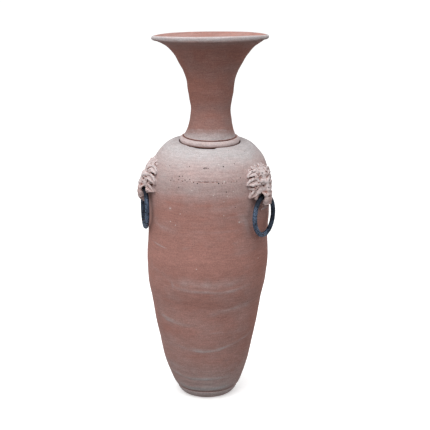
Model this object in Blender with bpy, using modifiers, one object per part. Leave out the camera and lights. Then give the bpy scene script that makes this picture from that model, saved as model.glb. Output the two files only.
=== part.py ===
"""Tall terracotta floor amphora with two lion masks and loose iron rings.

The vessel is thrown in sections that are luted one on the other: a base slab, a
lower section, a belly and a shoulder.  A trumpet neck with its own collar ring
stands dry on the shoulder, held central by a spigot inside the mouth.  A lion
mask is luted to each side of the shoulder, and an iron ring hangs in the hole
pierced through its muzzle.

Metres, +Z up.  The origin is the centre of the flat underside.  The front of the
vase is towards -Y.
"""

import math

import bmesh
import bpy
from mathutils import Matrix, Vector

# ---------------------------------------------------------------- dimensions
STEPS = 36                # facets round a turned piece
WALL = 0.013              # fired wall of the body sections
GAP = 0.0003              # slip line between two pieces
LEAN = 0.0090             # how far the neck stands to the right of the foot

FOOT_FACE_R = 0.064       # flat underside
FOOT_Z = 0.0240           # top of the base slab: the groove near the floor
JOINT_LOW_Z = 0.2920      # luted joint, lower section to belly
JOINT_HIGH_Z = 0.6400     # luted joint, belly to shoulder

SEAT_Z = 0.7168           # flat ring round the mouth, in which the neck and collar stand
MOUTH_R = 0.0500          # hole in the shoulder that takes the spigot
SPIGOT_R = 0.0475
SPIGOT_BORE_R = 0.0375
SPIGOT_END_Z = 0.6830
NECK_FOOT_R = 0.0635      # the part of the neck that stands inside the collar
NECK_SEAT_Z = 0.7171
FLANGE_Z = 0.7354         # underside of the neck's flange, over the collar

COLLAR_R = 0.0735         # collar ring: centre line and half thickness
COLLAR_Z = 0.7262
COLLAR_HALF = 0.0088

LIP_R = 0.1518            # rolled lip of the trumpet: centre and half thickness
LIP_Z = 1.0010
LIP_HALF = 0.0062

RING_R = 0.0530           # iron ring: centre line radius and rod radius
RING_ROD = 0.0065
HOLE_R = 0.0082           # narrowest part of the hole through the muzzle
PIVOT_R = 0.1768          # hole's distance from the vessel's axis

# side, azimuth of the mask from the front (degrees, + to the right), azimuth that the
# ring faces, height of the muzzle hole: both rings hang a little askew in their holes
MASKS = (("right", 57.0, 60.0, 0.5880), ("left", -81.0, -80.5, 0.5935))

# The potter's template: outer radius of the vessel at stations above the slab (r, z).
BODY_OUT = [
    (0.0850, 0.0243), (0.0903, 0.0300), (0.1036, 0.0600), (0.1162, 0.1000),
    (0.1293, 0.1600), (0.1419, 0.2200), (0.1515, 0.2800), (0.1634, 0.3400),
    (0.1682, 0.4000), (0.1658, 0.4600), (0.1652, 0.5200), (0.1658, 0.5800),
    (0.1636, 0.6300), (0.1525, 0.6700), (0.1332, 0.7000), (0.1070, 0.7192),
    (0.0955, 0.7222), (0.0870, 0.7200), (0.0800, SEAT_Z), (0.0500, SEAT_Z),
]
# Outer side of the neck, from the flange's edge up to under the lip (r, z).
NECK_OUT = [
    (0.0715, 0.7365), (0.0675, 0.7430), (0.0625, 0.7560), (0.0575, 0.7780),
    (0.0545, 0.8080), (0.0585, 0.8350), (0.0622, 0.8560), (0.0655, 0.8830),
    (0.0738, 0.9090), (0.0857, 0.9310), (0.0976, 0.9520), (0.1170, 0.9745),
    (0.1290, 0.9830), (0.1405, 0.9895),
]
# Inner side of the neck, from the lip down to the spigot's end (r, z).
NECK_IN = [
    (0.1440, 1.0035), (0.1290, 0.9985), (0.1120, 0.9885), (0.0930, 0.9700),
    (0.0770, 0.9470), (0.0655, 0.9230), (0.0560, 0.8930), (0.0520, 0.8680),
    (0.0475, 0.8400), (0.0445, 0.8100), (0.0455, 0.7750), (0.0440, 0.7480),
    (0.0400, 0.7290),
]


# ---------------------------------------------------------------- small maths
def smooth(a, b, x):
    t = min(1.0, max(0.0, (x - a) / (b - a)))
    return t * t * (3.0 - 2.0 * t)


def hand_thrown(co):
    """A hand-built pot isn't true: the top leans to the right, the shoulder dips
    towards the front, and the mouth tips back and rises a little to the right."""
    x, y, z = co
    dip = 0.060 * smooth(0.62, 0.71, z) * (1.0 - smooth(0.76, 0.86, z))
    tip = smooth(0.88, 0.99, z)
    return Vector((
        x + LEAN * smooth(0.25, 0.85, z),
        y,
        z + dip * y + tip * (-0.044 * y + 0.022 * x),
    ))


def slopes(xs, ys):
    """Monotone cubic tangents, so that the template's curve never overshoots."""
    n = len(xs)
    d = [(ys[i + 1] - ys[i]) / (xs[i + 1] - xs[i]) for i in range(n - 1)]
    m = [d[0]] + [0.0 if d[i - 1] * d[i] <= 0 else 2 * d[i - 1] * d[i] / (d[i - 1] + d[i])
                  for i in range(1, n - 1)] + [d[-1]]
    return m


def curve_through(points, spacing):
    """Points about `spacing` apart on a smooth curve through the stations."""
    s = [0.0]
    for a, b in zip(points, points[1:]):
        s.append(s[-1] + math.dist(a, b))
    mr, mz = (slopes(s, [p[k] for p in points]) for k in (0, 1))
    count = max(2, round(s[-1] / spacing))
    out = []
    for i in range(count + 1):
        q = s[-1] * i / count
        k = min(len(s) - 2, max(j for j in range(len(s)) if s[j] <= q + 1e-12))
        h = s[k + 1] - s[k]
        t = (q - s[k]) / h
        a, b = (1 + 2 * t) * (1 - t) ** 2, t * (1 - t) ** 2
        c, d = t * t * (3 - 2 * t), t * t * (t - 1)
        out.append(tuple(a * points[k][j] + b * h * m[k] + c * points[k + 1][j] + d * h * m[k + 1]
                         for j, m in ((0, mr), (1, mz))))
    return out


def inward(points, depth):
    """The same line moved `depth` to the inside of the pot, square to the wall."""
    out = []
    for i, p in enumerate(points):
        a, b = points[max(0, i - 1)], points[min(len(points) - 1, i + 1)]
        dr, dz = b[0] - a[0], b[1] - a[1]
        length = math.hypot(dr, dz)
        out.append((p[0] - dz / length * depth, p[1] + dr / length * depth))
    return out


def cut_line(points, low, high):
    """The part of a rising profile between two heights, ends exactly on them."""
    def at(z):
        for a, b in zip(points, points[1:]):
            if a[1] <= z <= b[1]:
                t = (z - a[1]) / (b[1] - a[1])
                return (a[0] + t * (b[0] - a[0]), z)
        return points[0] if z < points[0][1] else points[-1]
    keep = [p for p in points if low + 0.004 < p[1] < high - 0.004]
    return [at(low)] + keep + [at(high)]


FINE = curve_through(BODY_OUT, 0.002)          # the vessel's outer line, closely spaced
# the outline that the sections share, with shorter facets over the shoulder
COARSE = ([p for p in curve_through(BODY_OUT, 0.033) if p[1] < 0.600]
          + [p for p in curve_through(BODY_OUT, 0.015) if p[1] > 0.615])


def wall_point(arc):
    """(r, z, outward normal r, z) of the outer wall at an arc length along FINE."""
    run = 0.0
    for i, (a, b) in enumerate(zip(FINE, FINE[1:])):
        step = math.dist(a, b)
        if run + step >= arc or i == len(FINE) - 2:
            t = (arc - run) / step
            p, q = FINE[max(0, i - 4)], FINE[min(len(FINE) - 1, i + 5)]
            dr, dz = q[0] - p[0], q[1] - p[1]
            length = math.hypot(dr, dz)
            return (a[0] + t * (b[0] - a[0]), a[1] + t * (b[1] - a[1]), dz / length, -dr / length)
        run += step


def arc_at_height(z):
    run = 0.0
    for a, b in zip(FINE, FINE[1:]):
        if b[1] >= z:
            return run + math.dist(a, b) * (z - a[1]) / (b[1] - a[1])
        run += math.dist(a, b)
    return run


# ---------------------------------------------------------------- scene helpers
for old in list(bpy.data.objects):
    bpy.data.objects.remove(old, do_unlink=True)

parts = bpy.data.collections.new("terracotta_amphora")
cutters = bpy.data.collections.new("cutters")
bpy.context.scene.collection.children.link(parts)
bpy.context.scene.collection.children.link(cutters)


def material(name, colour, roughness, metallic=0.0):
    m = bpy.data.materials.new(name)
    m.use_nodes = True
    m.diffuse_color = (*colour, 1.0)
    shader = m.node_tree.nodes["Principled BSDF"]
    shader.inputs["Base Color"].default_value = (*colour, 1.0)
    shader.inputs["Roughness"].default_value = roughness
    shader.inputs["Metallic"].default_value = metallic
    return m


FIRED_CLAY = material("fired_clay", (0.37, 0.19, 0.15), 0.9)
NECK_CLAY = material("neck_clay", (0.33, 0.17, 0.13), 0.9)
PALE_CLAY = material("pale_clay", (0.52, 0.40, 0.36), 0.92)
IRON = material("forged_iron", (0.045, 0.065, 0.095), 0.6, 0.7)


def add_object(name, mesh, mat, where=parts):
    obj = bpy.data.objects.new(name, mesh)
    obj.data.materials.clear()
    if mat:
        obj.data.materials.append(mat)
    where.objects.link(obj)
    if where is cutters:
        obj.hide_render = True
        obj.display_type = "WIRE"
    return obj


def evaluated(obj):
    bpy.context.view_layer.update()
    graph = bpy.context.evaluated_depsgraph_get()
    return bpy.data.meshes.new_from_object(obj.evaluated_get(graph), depsgraph=graph)


def turned(name, profile, mat, closed=True, where=parts, warp=True, steps=STEPS, about=None):
    """A turned piece.  The profile starts at the top of the outer side and runs down it;
    closed joins its last point to its first, and an open one starts and ends on the axis."""
    mesh = bpy.data.meshes.new(name)
    verts = [(r, 0.0, z) for r, z in profile]
    edges = [(i, i + 1) for i in range(len(verts) - 1)]
    if closed:
        edges.append((len(verts) - 1, 0))
    mesh.from_pydata(verts, edges, [])
    blank = add_object(name + "_blank", mesh, None, cutters)
    screw = blank.modifiers.new("throw", "SCREW")
    screw.axis = "Z"
    screw.angle = math.tau
    screw.steps = screw.render_steps = steps
    screw.use_merge_vertices = True
    screw.merge_threshold = 0.00005
    screw.use_smooth_shade = False
    made = evaluated(blank)
    bpy.data.objects.remove(blank, do_unlink=True)
    if about is not None:
        made.transform(about)
    if warp:
        for v in made.vertices:
            v.co = hand_thrown(v.co)
    made.shade_smooth()
    made.set_sharp_from_angle(angle=math.radians(35))
    return add_object(name, made, mat, where)


# ---------------------------------------------------------------- vessel
turned("base_slab", [
    (0.0, FOOT_Z - GAP), (0.0835, FOOT_Z - GAP), (0.0832, 0.0190), (0.0790, 0.0115),
    (0.0725, 0.0040), (FOOT_FACE_R, 0.0), (0.0, 0.0),
], FIRED_CLAY, closed=False)


def section(name, low, high, mat):
    outer = cut_line(COARSE, low, high)
    # the inner line is cut at the same two heights, so that the joint faces are flat
    inner = cut_line(inward(COARSE, WALL), low, high)
    return turned(name, outer[::-1] + inner, mat)


section("lower_section", FOOT_Z, JOINT_LOW_Z - GAP, FIRED_CLAY)
section("belly_section", JOINT_LOW_Z, JOINT_HIGH_Z - GAP, FIRED_CLAY)

LINER = inward(COARSE, WALL)
dome_out = cut_line(COARSE, JOINT_HIGH_Z, 0.71)[:1] + [p for p in COARSE if p[1] > JOINT_HIGH_Z + 0.004]
dome_in = cut_line(LINER, JOINT_HIGH_Z, 0.69)[:1] + [
    p for p in LINER if p[1] > JOINT_HIGH_Z + 0.004 and p[0] > MOUTH_R + 0.006]
turned("shoulder_section", dome_out[::-1] + dome_in + [(MOUTH_R, SEAT_Z - WALL)], PALE_CLAY)

# ---------------------------------------------------------------- neck and collar
lip = [(LIP_R + LIP_HALF * math.cos(math.radians(a)), LIP_Z + LIP_HALF * math.sin(math.radians(a)))
       for a in (100, 60, 20, -20, -60, -100)]
neck_out = curve_through(NECK_OUT, 0.024)
neck_in = curve_through(NECK_IN, 0.030)
turned("trumpet_neck",
       lip + neck_out[::-1] + [(0.0712, FLANGE_Z), (NECK_FOOT_R, FLANGE_Z), (NECK_FOOT_R, NECK_SEAT_Z),
                               (SPIGOT_R, NECK_SEAT_Z), (SPIGOT_R, SPIGOT_END_Z),
                               (SPIGOT_BORE_R, SPIGOT_END_Z), (SPIGOT_BORE_R, 0.7200)]
       + neck_in[::-1],
       NECK_CLAY)


collar = [(COLLAR_R + COLLAR_HALF * math.cos(math.tau * i / 12),
           COLLAR_Z - COLLAR_HALF * math.sin(math.tau * i / 12)) for i in range(12)]
turned("collar_ring", collar, PALE_CLAY)

# ---------------------------------------------------------------- lion masks
# Lumps of clay in the mask's own flat frame, in millimetres: u across, v up the wall
# from the muzzle hole, w out of the wall.  Each is (centre, half sizes, turn in degrees).
FACE = [
    ((0, 34, 0), (44, 56, 13), 0),           # backing pad
    ((0, 52, 9), (27, 26, 15), 0),           # forehead
    ((0, 30, 18), (12, 24, 14), 0),          # bridge of the nose
    ((0, 9, 19), (22, 16, 16), 0),           # upper muzzle
    ((0, -10, 14), (16, 18, 16), 0),         # jaw and chin
]
PAIRED = [
    ((17, 41, 14), (13, 8, 10), 12),         # brow
    ((23, 22, 9), (15, 13, 10), 0),          # cheek
    ((39, 54, 6), (16, 10, 10), 28),         # mane locks, three a side
    ((41, 34, 6), (17, 11, 10), 8),
    ((35, 12, 6), (17, 11, 10), -22),
    ((26, 71, 6), (12, 14, 9), -20),         # crown tufts
    ((9, 78, 6), (9, 14, 8), -6),
]


def lump(bm, centre, half, turn):
    where = (Matrix.Translation(Vector(centre)) @ Matrix.Rotation(math.radians(turn), 4, "Z")
             @ Matrix.Diagonal((*half, 1.0)))
    bmesh.ops.create_uvsphere(bm, u_segments=18, v_segments=12, radius=1.0, matrix=where)


def wrap_on_wall(p, azimuth, arc0):
    """A point of the flat frame (mm) laid on the curved wall."""
    r, z, nr, nz = wall_point(arc0 + p.y / 1000)
    w = p.z / 1000
    a = math.radians(azimuth) + p.x / 1000 / max(r, 0.12)
    radius, height = r + w * nr, z + w * nz
    return hand_thrown((radius * math.sin(a), -radius * math.cos(a), height))


seat = turned("wall_cutter",
              [(0.0, 0.7300)] + [p for p in inward(COARSE, -0.0006)[::-1]
                                 if p[1] > 0.40 and p[0] > 0.09] + [(0.0, 0.38)],
              None, closed=False, where=cutters)

pivots = {}
for side, azimuth, facing, hole_z in MASKS:
    a, b = math.radians(azimuth), math.radians(facing)
    pivot = hand_thrown((PIVOT_R * math.sin(a), -PIVOT_R * math.cos(a), hole_z))
    out_dir = Vector((math.sin(b), -math.cos(b), 0.0))
    along = Vector((math.cos(b), math.sin(b), 0.0))
    pivots[side] = (pivot, out_dir, along)

    bm = bmesh.new()
    for centre, half, turn in FACE:
        lump(bm, centre, half, turn)
    for (u, v, w), half, turn in PAIRED:
        lump(bm, (u, v, w), half, turn)
        lump(bm, (-u, v, w), half, -turn)
    mesh = bpy.data.meshes.new("lumps")
    bm.to_mesh(mesh)
    bm.free()
    lumps = add_object(f"lumps_{side}", mesh, None, cutters)
    press = lumps.modifiers.new("press", "REMESH")
    press.mode = "VOXEL"
    press.voxel_size = 2.5
    thin = lumps.modifiers.new("thin", "DECIMATE")
    thin.ratio = 0.060
    pressed = evaluated(lumps)
    bpy.data.objects.remove(lumps, do_unlink=True)
    arc0 = arc_at_height(hole_z)
    for v in pressed.vertices:
        v.co = wrap_on_wall(v.co, azimuth, arc0)
    mask = add_object(f"lion_mask_{side}", pressed, PALE_CLAY)

    # The hole widens to both sides as the ring's own curve does, so that the ring can swing in it.
    reach = 0.034
    flare = []
    for i in range(9):
        s = reach * (1 - i / 4)
        flare.append((HOLE_R + RING_R - math.sqrt(RING_R ** 2 - s * s), s))
    frame = Matrix((out_dir, along.cross(out_dir), along)).transposed().to_4x4()
    hole = turned(f"hole_cutter_{side}", [(0.0, reach)] + flare + [(0.0, -reach)], None, closed=False,
                  where=cutters, warp=False, steps=20, about=Matrix.Translation(pivot) @ frame)
    for cutter in (seat, hole):
        cut = mask.modifiers.new("cut", "BOOLEAN")
        cut.operation = "DIFFERENCE"
        cut.object = cutter

# ---------------------------------------------------------------- iron rings
for side, (pivot, out_dir, along) in pivots.items():
    hinge = bpy.data.objects.new(f"ring_pivot_{side}", None)
    hinge.location = pivot
    hinge.rotation_euler = Vector((0, 0, 1)).rotation_difference(out_dir).to_euler()
    parts.objects.link(hinge)
    bpy.ops.mesh.primitive_torus_add(major_segments=36, minor_segments=8,
                                     major_radius=RING_R, minor_radius=RING_ROD)
    ring = bpy.context.object
    for c in list(ring.users_collection):
        c.objects.unlink(ring)
    parts.objects.link(ring)
    ring.name = f"iron_ring_{side}"
    ring.data.materials.append(IRON)
    ring.data.shade_smooth()
    bpy.context.view_layer.update()
    ring.parent = hinge
    # the hinge's own Z looks out of the wall, so the ring's plane is already right;
    # its centre hangs one radius under the pivot
    down = hinge.matrix_world.to_3x3().inverted() @ Vector((0, 0, -RING_R))
    ring.location = down
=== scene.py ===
"""Tall terracotta floor amphora with lion masks and forged iron rings: the visible model.

Every visible piece is thrown, pressed or forged here in mesh code, in metres, in the same
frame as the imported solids, and stands for the solid of the same name.
"""

import math

import bpy
import numpy as np
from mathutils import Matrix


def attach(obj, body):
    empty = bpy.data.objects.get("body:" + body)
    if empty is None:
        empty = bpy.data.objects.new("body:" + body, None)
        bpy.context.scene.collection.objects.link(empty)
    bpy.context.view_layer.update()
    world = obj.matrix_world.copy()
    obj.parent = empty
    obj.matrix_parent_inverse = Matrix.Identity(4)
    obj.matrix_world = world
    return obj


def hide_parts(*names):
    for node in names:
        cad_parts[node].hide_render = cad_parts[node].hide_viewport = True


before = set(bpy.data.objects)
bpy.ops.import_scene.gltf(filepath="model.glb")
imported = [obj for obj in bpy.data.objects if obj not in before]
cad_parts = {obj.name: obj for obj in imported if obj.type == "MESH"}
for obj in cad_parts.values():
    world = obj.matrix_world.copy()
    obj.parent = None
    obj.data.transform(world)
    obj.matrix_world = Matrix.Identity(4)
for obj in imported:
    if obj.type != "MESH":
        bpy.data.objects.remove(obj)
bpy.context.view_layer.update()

# ---------------------------------------------------------------- dimensions
WALL = 0.013
LEAN = 0.0090
FOOT_Z = 0.0240
JOINT_LOW_Z, JOINT_HIGH_Z = 0.2920, 0.6400
SEAT_Z, MOUTH_R = 0.7168, 0.0500
SPIGOT_R, SPIGOT_BORE_R, SPIGOT_END_Z = 0.0475, 0.0375, 0.6830
NECK_FOOT_R, NECK_SEAT_Z, FLANGE_Z = 0.0635, 0.7171, 0.7354
COLLAR_R, COLLAR_Z, COLLAR_HALF = 0.0735, 0.7262, 0.0088
LIP_R, LIP_Z, LIP_HALF, LIP_DROP = 0.1512, 0.9994, 0.0064, 0.0054
RING_R, RING_ROD = 0.0530, 0.0065
PIVOT_R = 0.1768
# side, azimuth of the mask, azimuth that the ring faces (degrees from the front), hole height
MASKS = (("right", 57.0, 60.0, 0.5880), ("left", -81.0, -80.5, 0.5935))

BODY_OUT = [
    (0.0850, 0.0243), (0.0903, 0.0300), (0.1036, 0.0600), (0.1162, 0.1000),
    (0.1293, 0.1600), (0.1419, 0.2200), (0.1515, 0.2800), (0.1634, 0.3400),
    (0.1682, 0.4000), (0.1658, 0.4600), (0.1652, 0.5200), (0.1658, 0.5800),
    (0.1636, 0.6300), (0.1525, 0.6700), (0.1332, 0.7000), (0.1070, 0.7192),
    (0.0955, 0.7222), (0.0870, 0.7200), (0.0800, SEAT_Z), (0.0500, SEAT_Z),
]
NECK_OUT = [
    (0.0715, 0.7365), (0.0675, 0.7430), (0.0625, 0.7560), (0.0575, 0.7780),
    (0.0545, 0.8080), (0.0585, 0.8350), (0.0622, 0.8560), (0.0655, 0.8830),
    (0.0738, 0.9090), (0.0857, 0.9310), (0.0976, 0.9520), (0.1170, 0.9745),
    (0.1290, 0.9830), (0.1405, 0.9895),
]
NECK_IN = [
    (0.1420, 1.0035), (0.1290, 0.9985), (0.1120, 0.9885), (0.0930, 0.9700),
    (0.0770, 0.9470), (0.0655, 0.9230), (0.0560, 0.8930), (0.0520, 0.8680),
    (0.0475, 0.8400), (0.0445, 0.8100), (0.0455, 0.7750), (0.0440, 0.7480),
    (0.0400, 0.7290),
]
TAU = math.tau


# ---------------------------------------------------------------- small maths
def smooth(a, b, x):
    t = np.clip((np.asarray(x, float) - a) / (b - a), 0.0, 1.0)
    return t * t * (3.0 - 2.0 * t)


def hand_thrown(p):
    """A hand-built pot isn't true: it leans right, its shoulder dips to the front, and the
    mouth tips back and rises to the right.  p is an (n, 3) array."""
    x, y, z = p[..., 0], p[..., 1], p[..., 2]
    dip = 0.060 * smooth(0.62, 0.71, z) * (1.0 - smooth(0.76, 0.86, z))
    tip = smooth(0.88, 0.99, z)
    # the foot part bulges left and the neck stands a touch right of its own mouth
    sway = (0.0018 * smooth(0.73, 0.77, z) + 0.0013 * smooth(0.93, 0.965, z)) * (1 - smooth(0.982, 0.996, z))
    sway = sway - 0.0020 * smooth(0.02, 0.12, z) * (1 - smooth(0.28, 0.40, z))
    # and the seat has sunk a little on the right
    settled = 0.030 * smooth(0.66, 0.71, z) * (1.0 - smooth(0.74, 0.80, z)) * (x + np.hypot(x, 0.02)) / 2
    return np.stack([x + LEAN * smooth(0.25, 0.85, z) + sway, y,
                     z - settled + dip * y + tip * (-0.039 * y + 0.0115 * x)], axis=-1)


def cell_value(i, j, k, seed):
    n = (i * 73856093) ^ (j * 19349663) ^ (k * 83492791) ^ (seed * 40503377)
    n = (n ^ (n >> 13)) * 1274126177
    n = (n ^ (n >> 16)) & 0xFFFF
    return n / 32767.5 - 1.0


def field(p, cell, seed):
    """A smooth random field between -1 and 1 with lumps about `cell` metres across."""
    q = p / np.asarray(cell, float)
    i = np.floor(q).astype(np.int64)
    f = q - i
    f = f * f * (3.0 - 2.0 * f)
    out = 0.0
    for dx in (0, 1):
        wx = f[..., 0] if dx else 1.0 - f[..., 0]
        for dy in (0, 1):
            wy = f[..., 1] if dy else 1.0 - f[..., 1]
            for dz in (0, 1):
                wz = f[..., 2] if dz else 1.0 - f[..., 2]
                out = out + wx * wy * wz * cell_value(
                    i[..., 0] + dx, i[..., 1] + dy, i[..., 2] + dz, seed)
    return out


def curve_through(points, spacing):
    """Points about `spacing` apart on a smooth curve through the potter's stations."""
    pts = np.asarray(points, float)
    s = np.concatenate([[0.0], np.cumsum(np.hypot(*np.diff(pts, axis=0).T))])
    d = np.diff(pts, axis=0) / np.diff(s)[:, None]
    m = np.zeros_like(pts)
    m[0], m[-1] = d[0], d[-1]
    prod = d[:-1] * d[1:]
    both = d[:-1] + d[1:]
    m[1:-1] = np.where(prod > 0, 2 * prod / np.where(both == 0, 1, both), 0.0)
    q = np.linspace(0.0, s[-1], max(2, round(s[-1] / spacing)) + 1)
    k = np.clip(np.searchsorted(s, q, side="right") - 1, 0, len(s) - 2)
    h = (s[k + 1] - s[k])[:, None]
    t = ((q - s[k])[:, None]) / h
    return ((1 + 2 * t) * (1 - t) ** 2 * pts[k] + t * (1 - t) ** 2 * h * m[k]
            + t * t * (3 - 2 * t) * pts[k + 1] + t * t * (t - 1) * h * m[k + 1])


FINE = curve_through(BODY_OUT, 0.0005)
FINE_S = np.concatenate([[0.0], np.cumsum(np.hypot(*np.diff(FINE, axis=0).T))])
CROWN = int(np.argmax(FINE[:, 1]))            # the highest point, beside the trough


def arc_of(z):
    return float(np.interp(z, FINE[:CROWN + 1, 1], FINE_S[:CROWN + 1]))


def wall_at(s):
    """r, z and outward normal (r, z) of the vessel's outer line at arc lengths s."""
    r, z = np.interp(s, FINE_S, FINE[:, 0]), np.interp(s, FINE_S, FINE[:, 1])
    e = 0.004
    dr = np.interp(s + e, FINE_S, FINE[:, 0]) - np.interp(s - e, FINE_S, FINE[:, 0])
    dz = np.interp(s + e, FINE_S, FINE[:, 1]) - np.interp(s - e, FINE_S, FINE[:, 1])
    n = np.hypot(dr, dz)
    return r, z, dz / n, -dr / n


def wall_radius(z):
    return np.interp(z, FINE[:CROWN + 1, 1], FINE[:CROWN + 1, 0])


# ---------------------------------------------------------------- camera
LENS, SENSOR, SIDE = 99.63, 36.0, 430
CAM_AT = np.array((0.0222, -3.195, 1.291))
CAM_DOWN = math.radians(13.71)

cam_data = bpy.data.cameras.new("camera")
cam_data.lens, cam_data.sensor_width = LENS, SENSOR
camera = bpy.data.objects.new("camera", cam_data)
camera.location = CAM_AT
camera.rotation_euler = (math.radians(90) - CAM_DOWN, 0.0, 0.0)
bpy.context.scene.collection.objects.link(camera)
bpy.context.scene.camera = camera


def on_pot(px, py):
    """Azimuth from the front and height of the wall seen at a pixel of the view."""
    focal = LENS / SENSOR * SIDE
    side, up = (px - SIDE / 2) / focal, -(py - SIDE / 2) / focal
    c, s = math.cos(CAM_DOWN), math.sin(CAM_DOWN)
    ray = np.array((side, c + up * s, -s + up * c))
    t = np.linspace(2.9, 3.6, 2801)
    p = CAM_AT + t[:, None] * ray
    z = p[:, 2]
    for _ in range(2):
        dip = 0.060 * smooth(0.62, 0.71, z) * (1.0 - smooth(0.76, 0.86, z))
        z = p[:, 2] - dip * p[:, 1]
    x = p[:, 0] - LEAN * smooth(0.25, 0.85, z)
    gap = np.hypot(x, p[:, 1]) - wall_radius(z)
    gap[z > 0.722] = 1.0
    hit = int(np.argmax(gap < 0)) if (gap < 0).any() else int(np.argmin(gap))
    return math.atan2(x[hit], -p[hit, 1]), float(z[hit])


# ---------------------------------------------------------------- marks on the clay
# Pale smears of slip, as strokes across the front of the view: the points along each one
# (pixels), half width (pixels), strength, and how proud the clay stands there (mm).
PIXEL = 0.00265
STROKES = [
    ([(170, 281), (176, 288), (190, 291), (206, 292.6), (221, 293), (236, 290), (250, 284)], 1.7, 0.40, 0.30),
    ([(171, 279), (182, 283), (206, 285.5), (228, 283.5), (247, 277)], 4.6, 0.34, 0.12),
    ([(171, 281), (174, 289), (175, 296)], 3.6, 0.26, 0.0),
    ([(161, 313), (168.5, 319), (178.5, 323), (188.5, 325.6), (197, 324.5)], 2.0, 0.30, 0.15),
    ([(163, 313.5), (170, 318), (179, 321.5)], 0.6, 0.40, 0.15),
    ([(166, 318.5), (172, 321), (180, 324.2)], 0.6, 0.34, 0.10),
    ([(207, 315), (226, 311), (241, 306), (257, 297)], 3.4, 0.24, 0.12),
    ([(224, 311), (233, 308.6), (241, 305.6)], 0.9, 0.24, 0.10),
    ([(179, 345), (190, 350), (205, 352), (220, 349.4), (233.5, 343.8), (246, 336), (253, 329)], 1.4, 0.48, 0.30),
    ([(187, 347), (200, 349.6), (212, 349)], 0.8, 0.20, 0.12),
    ([(211, 334), (224, 332)], 0.8, 0.22, 0.05),
    ([(169, 365), (176, 371), (183.5, 376), (193.5, 379), (206, 379.6), (221, 378), (233, 375)], 1.5, 0.52, 0.40),
    ([(177, 380), (187, 387), (202, 389.4), (221, 388), (236, 381)], 1.8, 0.48, 0.35),
    ([(160, 352), (171, 362), (186, 368)], 2.4, 0.18, 0.0),
    ([(152, 240), (159, 245), (169, 249.7)], 0.60, 0.52, 0.10),
    ([(181, 249), (193, 247.5)], 1.8, 0.28, 0.0),
    ([(231, 244), (239, 242.5)], 1.6, 0.20, 0.0),
    ([(208, 210), (225, 209), (241, 205)], 2.2, 0.26, 0.0),
    ([(212, 206), (226, 204)], 1.4, 0.16, 0.0),
    ([(238, 223), (243, 221.5)], 1.1, 0.34, 0.0),
    ([(168.5, 208.4), (171.5, 208.2)], 1.5, 0.42, 0.0),
    ([(154, 220), (160, 226), (170, 229)], 1.6, 0.16, 0.0),
    ([(188, 214), (226, 218), (250, 214)], 1.0, 0.14, 0.0),
    ([(186, 231), (216, 233), (246, 228)], 1.4, 0.12, 0.0),
    ([(216, 257), (236, 255), (258, 246)], 2.4, 0.14, 0.0),
    ([(150, 262), (160, 272), (170, 280)], 3.2, 0.18, 0.0),
    ([(240, 268), (258, 262)], 2.6, 0.10, 0.0),
    # beside the right ring: a pale smear that also lightens the wall where the ring's shadow falls, partly painted
    # light
    ([(236, 213), (244, 220), (250, 231)], 5.0, 0.24, 0.0),
]
RED_BANDS = [
    ([(160, 212), (176, 216), (205, 218), (230, 216), (250, 211)], 2.6, 0.12, -0.1),
    ([(158, 199), (180, 205), (210, 206.5), (240, 202)], 2.2, 0.11, -0.1),
    ([(156, 256), (180, 262), (206, 264), (236, 262), (256, 254)], 6.0, 0.10, -0.1),
    ([(164, 268), (190, 272), (222, 271)], 4.0, 0.10, 0.0),
    ([(160, 300), (180, 304), (206, 306), (222, 304)], 4.5, 0.13, -0.15),
    ([(176, 352), (196, 357), (214, 356)], 3.0, 0.12, 0.0),
    ([(182, 384), (200, 385.6), (216, 384)], 0.9, 0.16, -0.1),
]


def as_marks(strokes):
    out = []
    for points, half, strength, proud in strokes:
        at = np.array([on_pot(x, y) for x, y in points])
        out.append((at[:, 0], at[:, 1], half * PIXEL, strength, proud / 1000))
    return out


def sides_and_back(seed, count, strengths):
    """The same kinds of mark on the parts of the wall that the front view doesn't show."""
    rng = np.random.default_rng(seed)
    out = []
    for _ in range(count):
        half_turn = math.radians(rng.uniform(8, 46))
        middle = math.pi + rng.uniform(-1, 1) * (math.radians(98) - half_turn * 0.6)
        z0 = rng.uniform(0.05, 0.60)
        a = np.linspace(middle - half_turn, middle + half_turn, 7)
        z = z0 + rng.uniform(-0.012, 0.012) * np.linspace(-1, 1, 7) + 0.004 * rng.normal(size=1)
        out.append((a, z, rng.uniform(0.0012, 0.0060), rng.uniform(*strengths),
                    rng.uniform(0.0, 0.0005)))
    return out


PALE_MARKS = as_marks(STROKES) + sides_and_back(11, 22, (0.15, 0.42))
RED_MARKS = as_marks(RED_BANDS) + sides_and_back(12, 8, (0.08, 0.16))


def laid_on(marks, a, z, p):
    """Strength and relief of all the strokes at azimuth a and height z."""
    total, proud = np.zeros_like(z), np.zeros_like(z)
    for at, zs, half, strength, mm in marks:
        if at[0] > at[-1]:
            at, zs = at[::-1], zs[::-1]
        middle = (at[0] + at[-1]) / 2
        aa = (a - middle + math.pi) % TAU - math.pi + middle
        near = (aa > at[0] - 0.25) & (aa < at[-1] + 0.25) & (abs(z - zs.mean()) < 0.12)
        if not near.any():
            continue
        run, zz = aa[near], z[near]
        fade = 0.30 * (at[-1] - at[0]) + 0.01
        ends = smooth(at[0] - fade * 0.3, at[0] + fade, run) * (1 - smooth(at[-1] - fade, at[-1] + fade * 0.3, run))
        off = (zz - np.interp(run, at, zs)) / half
        ragged = 1.0 + 0.35 * field(p[near], (0.030, 0.030, 0.006), 51)
        body = np.exp(-(off * ragged) ** 2) * ends
        patch = 0.72 + 0.5 * field(p[near], 0.022, 52)
        total[near] += strength * body * np.clip(patch, 0.1, 1.4)
        proud[near] += mm * body
    return total, proud


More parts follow.
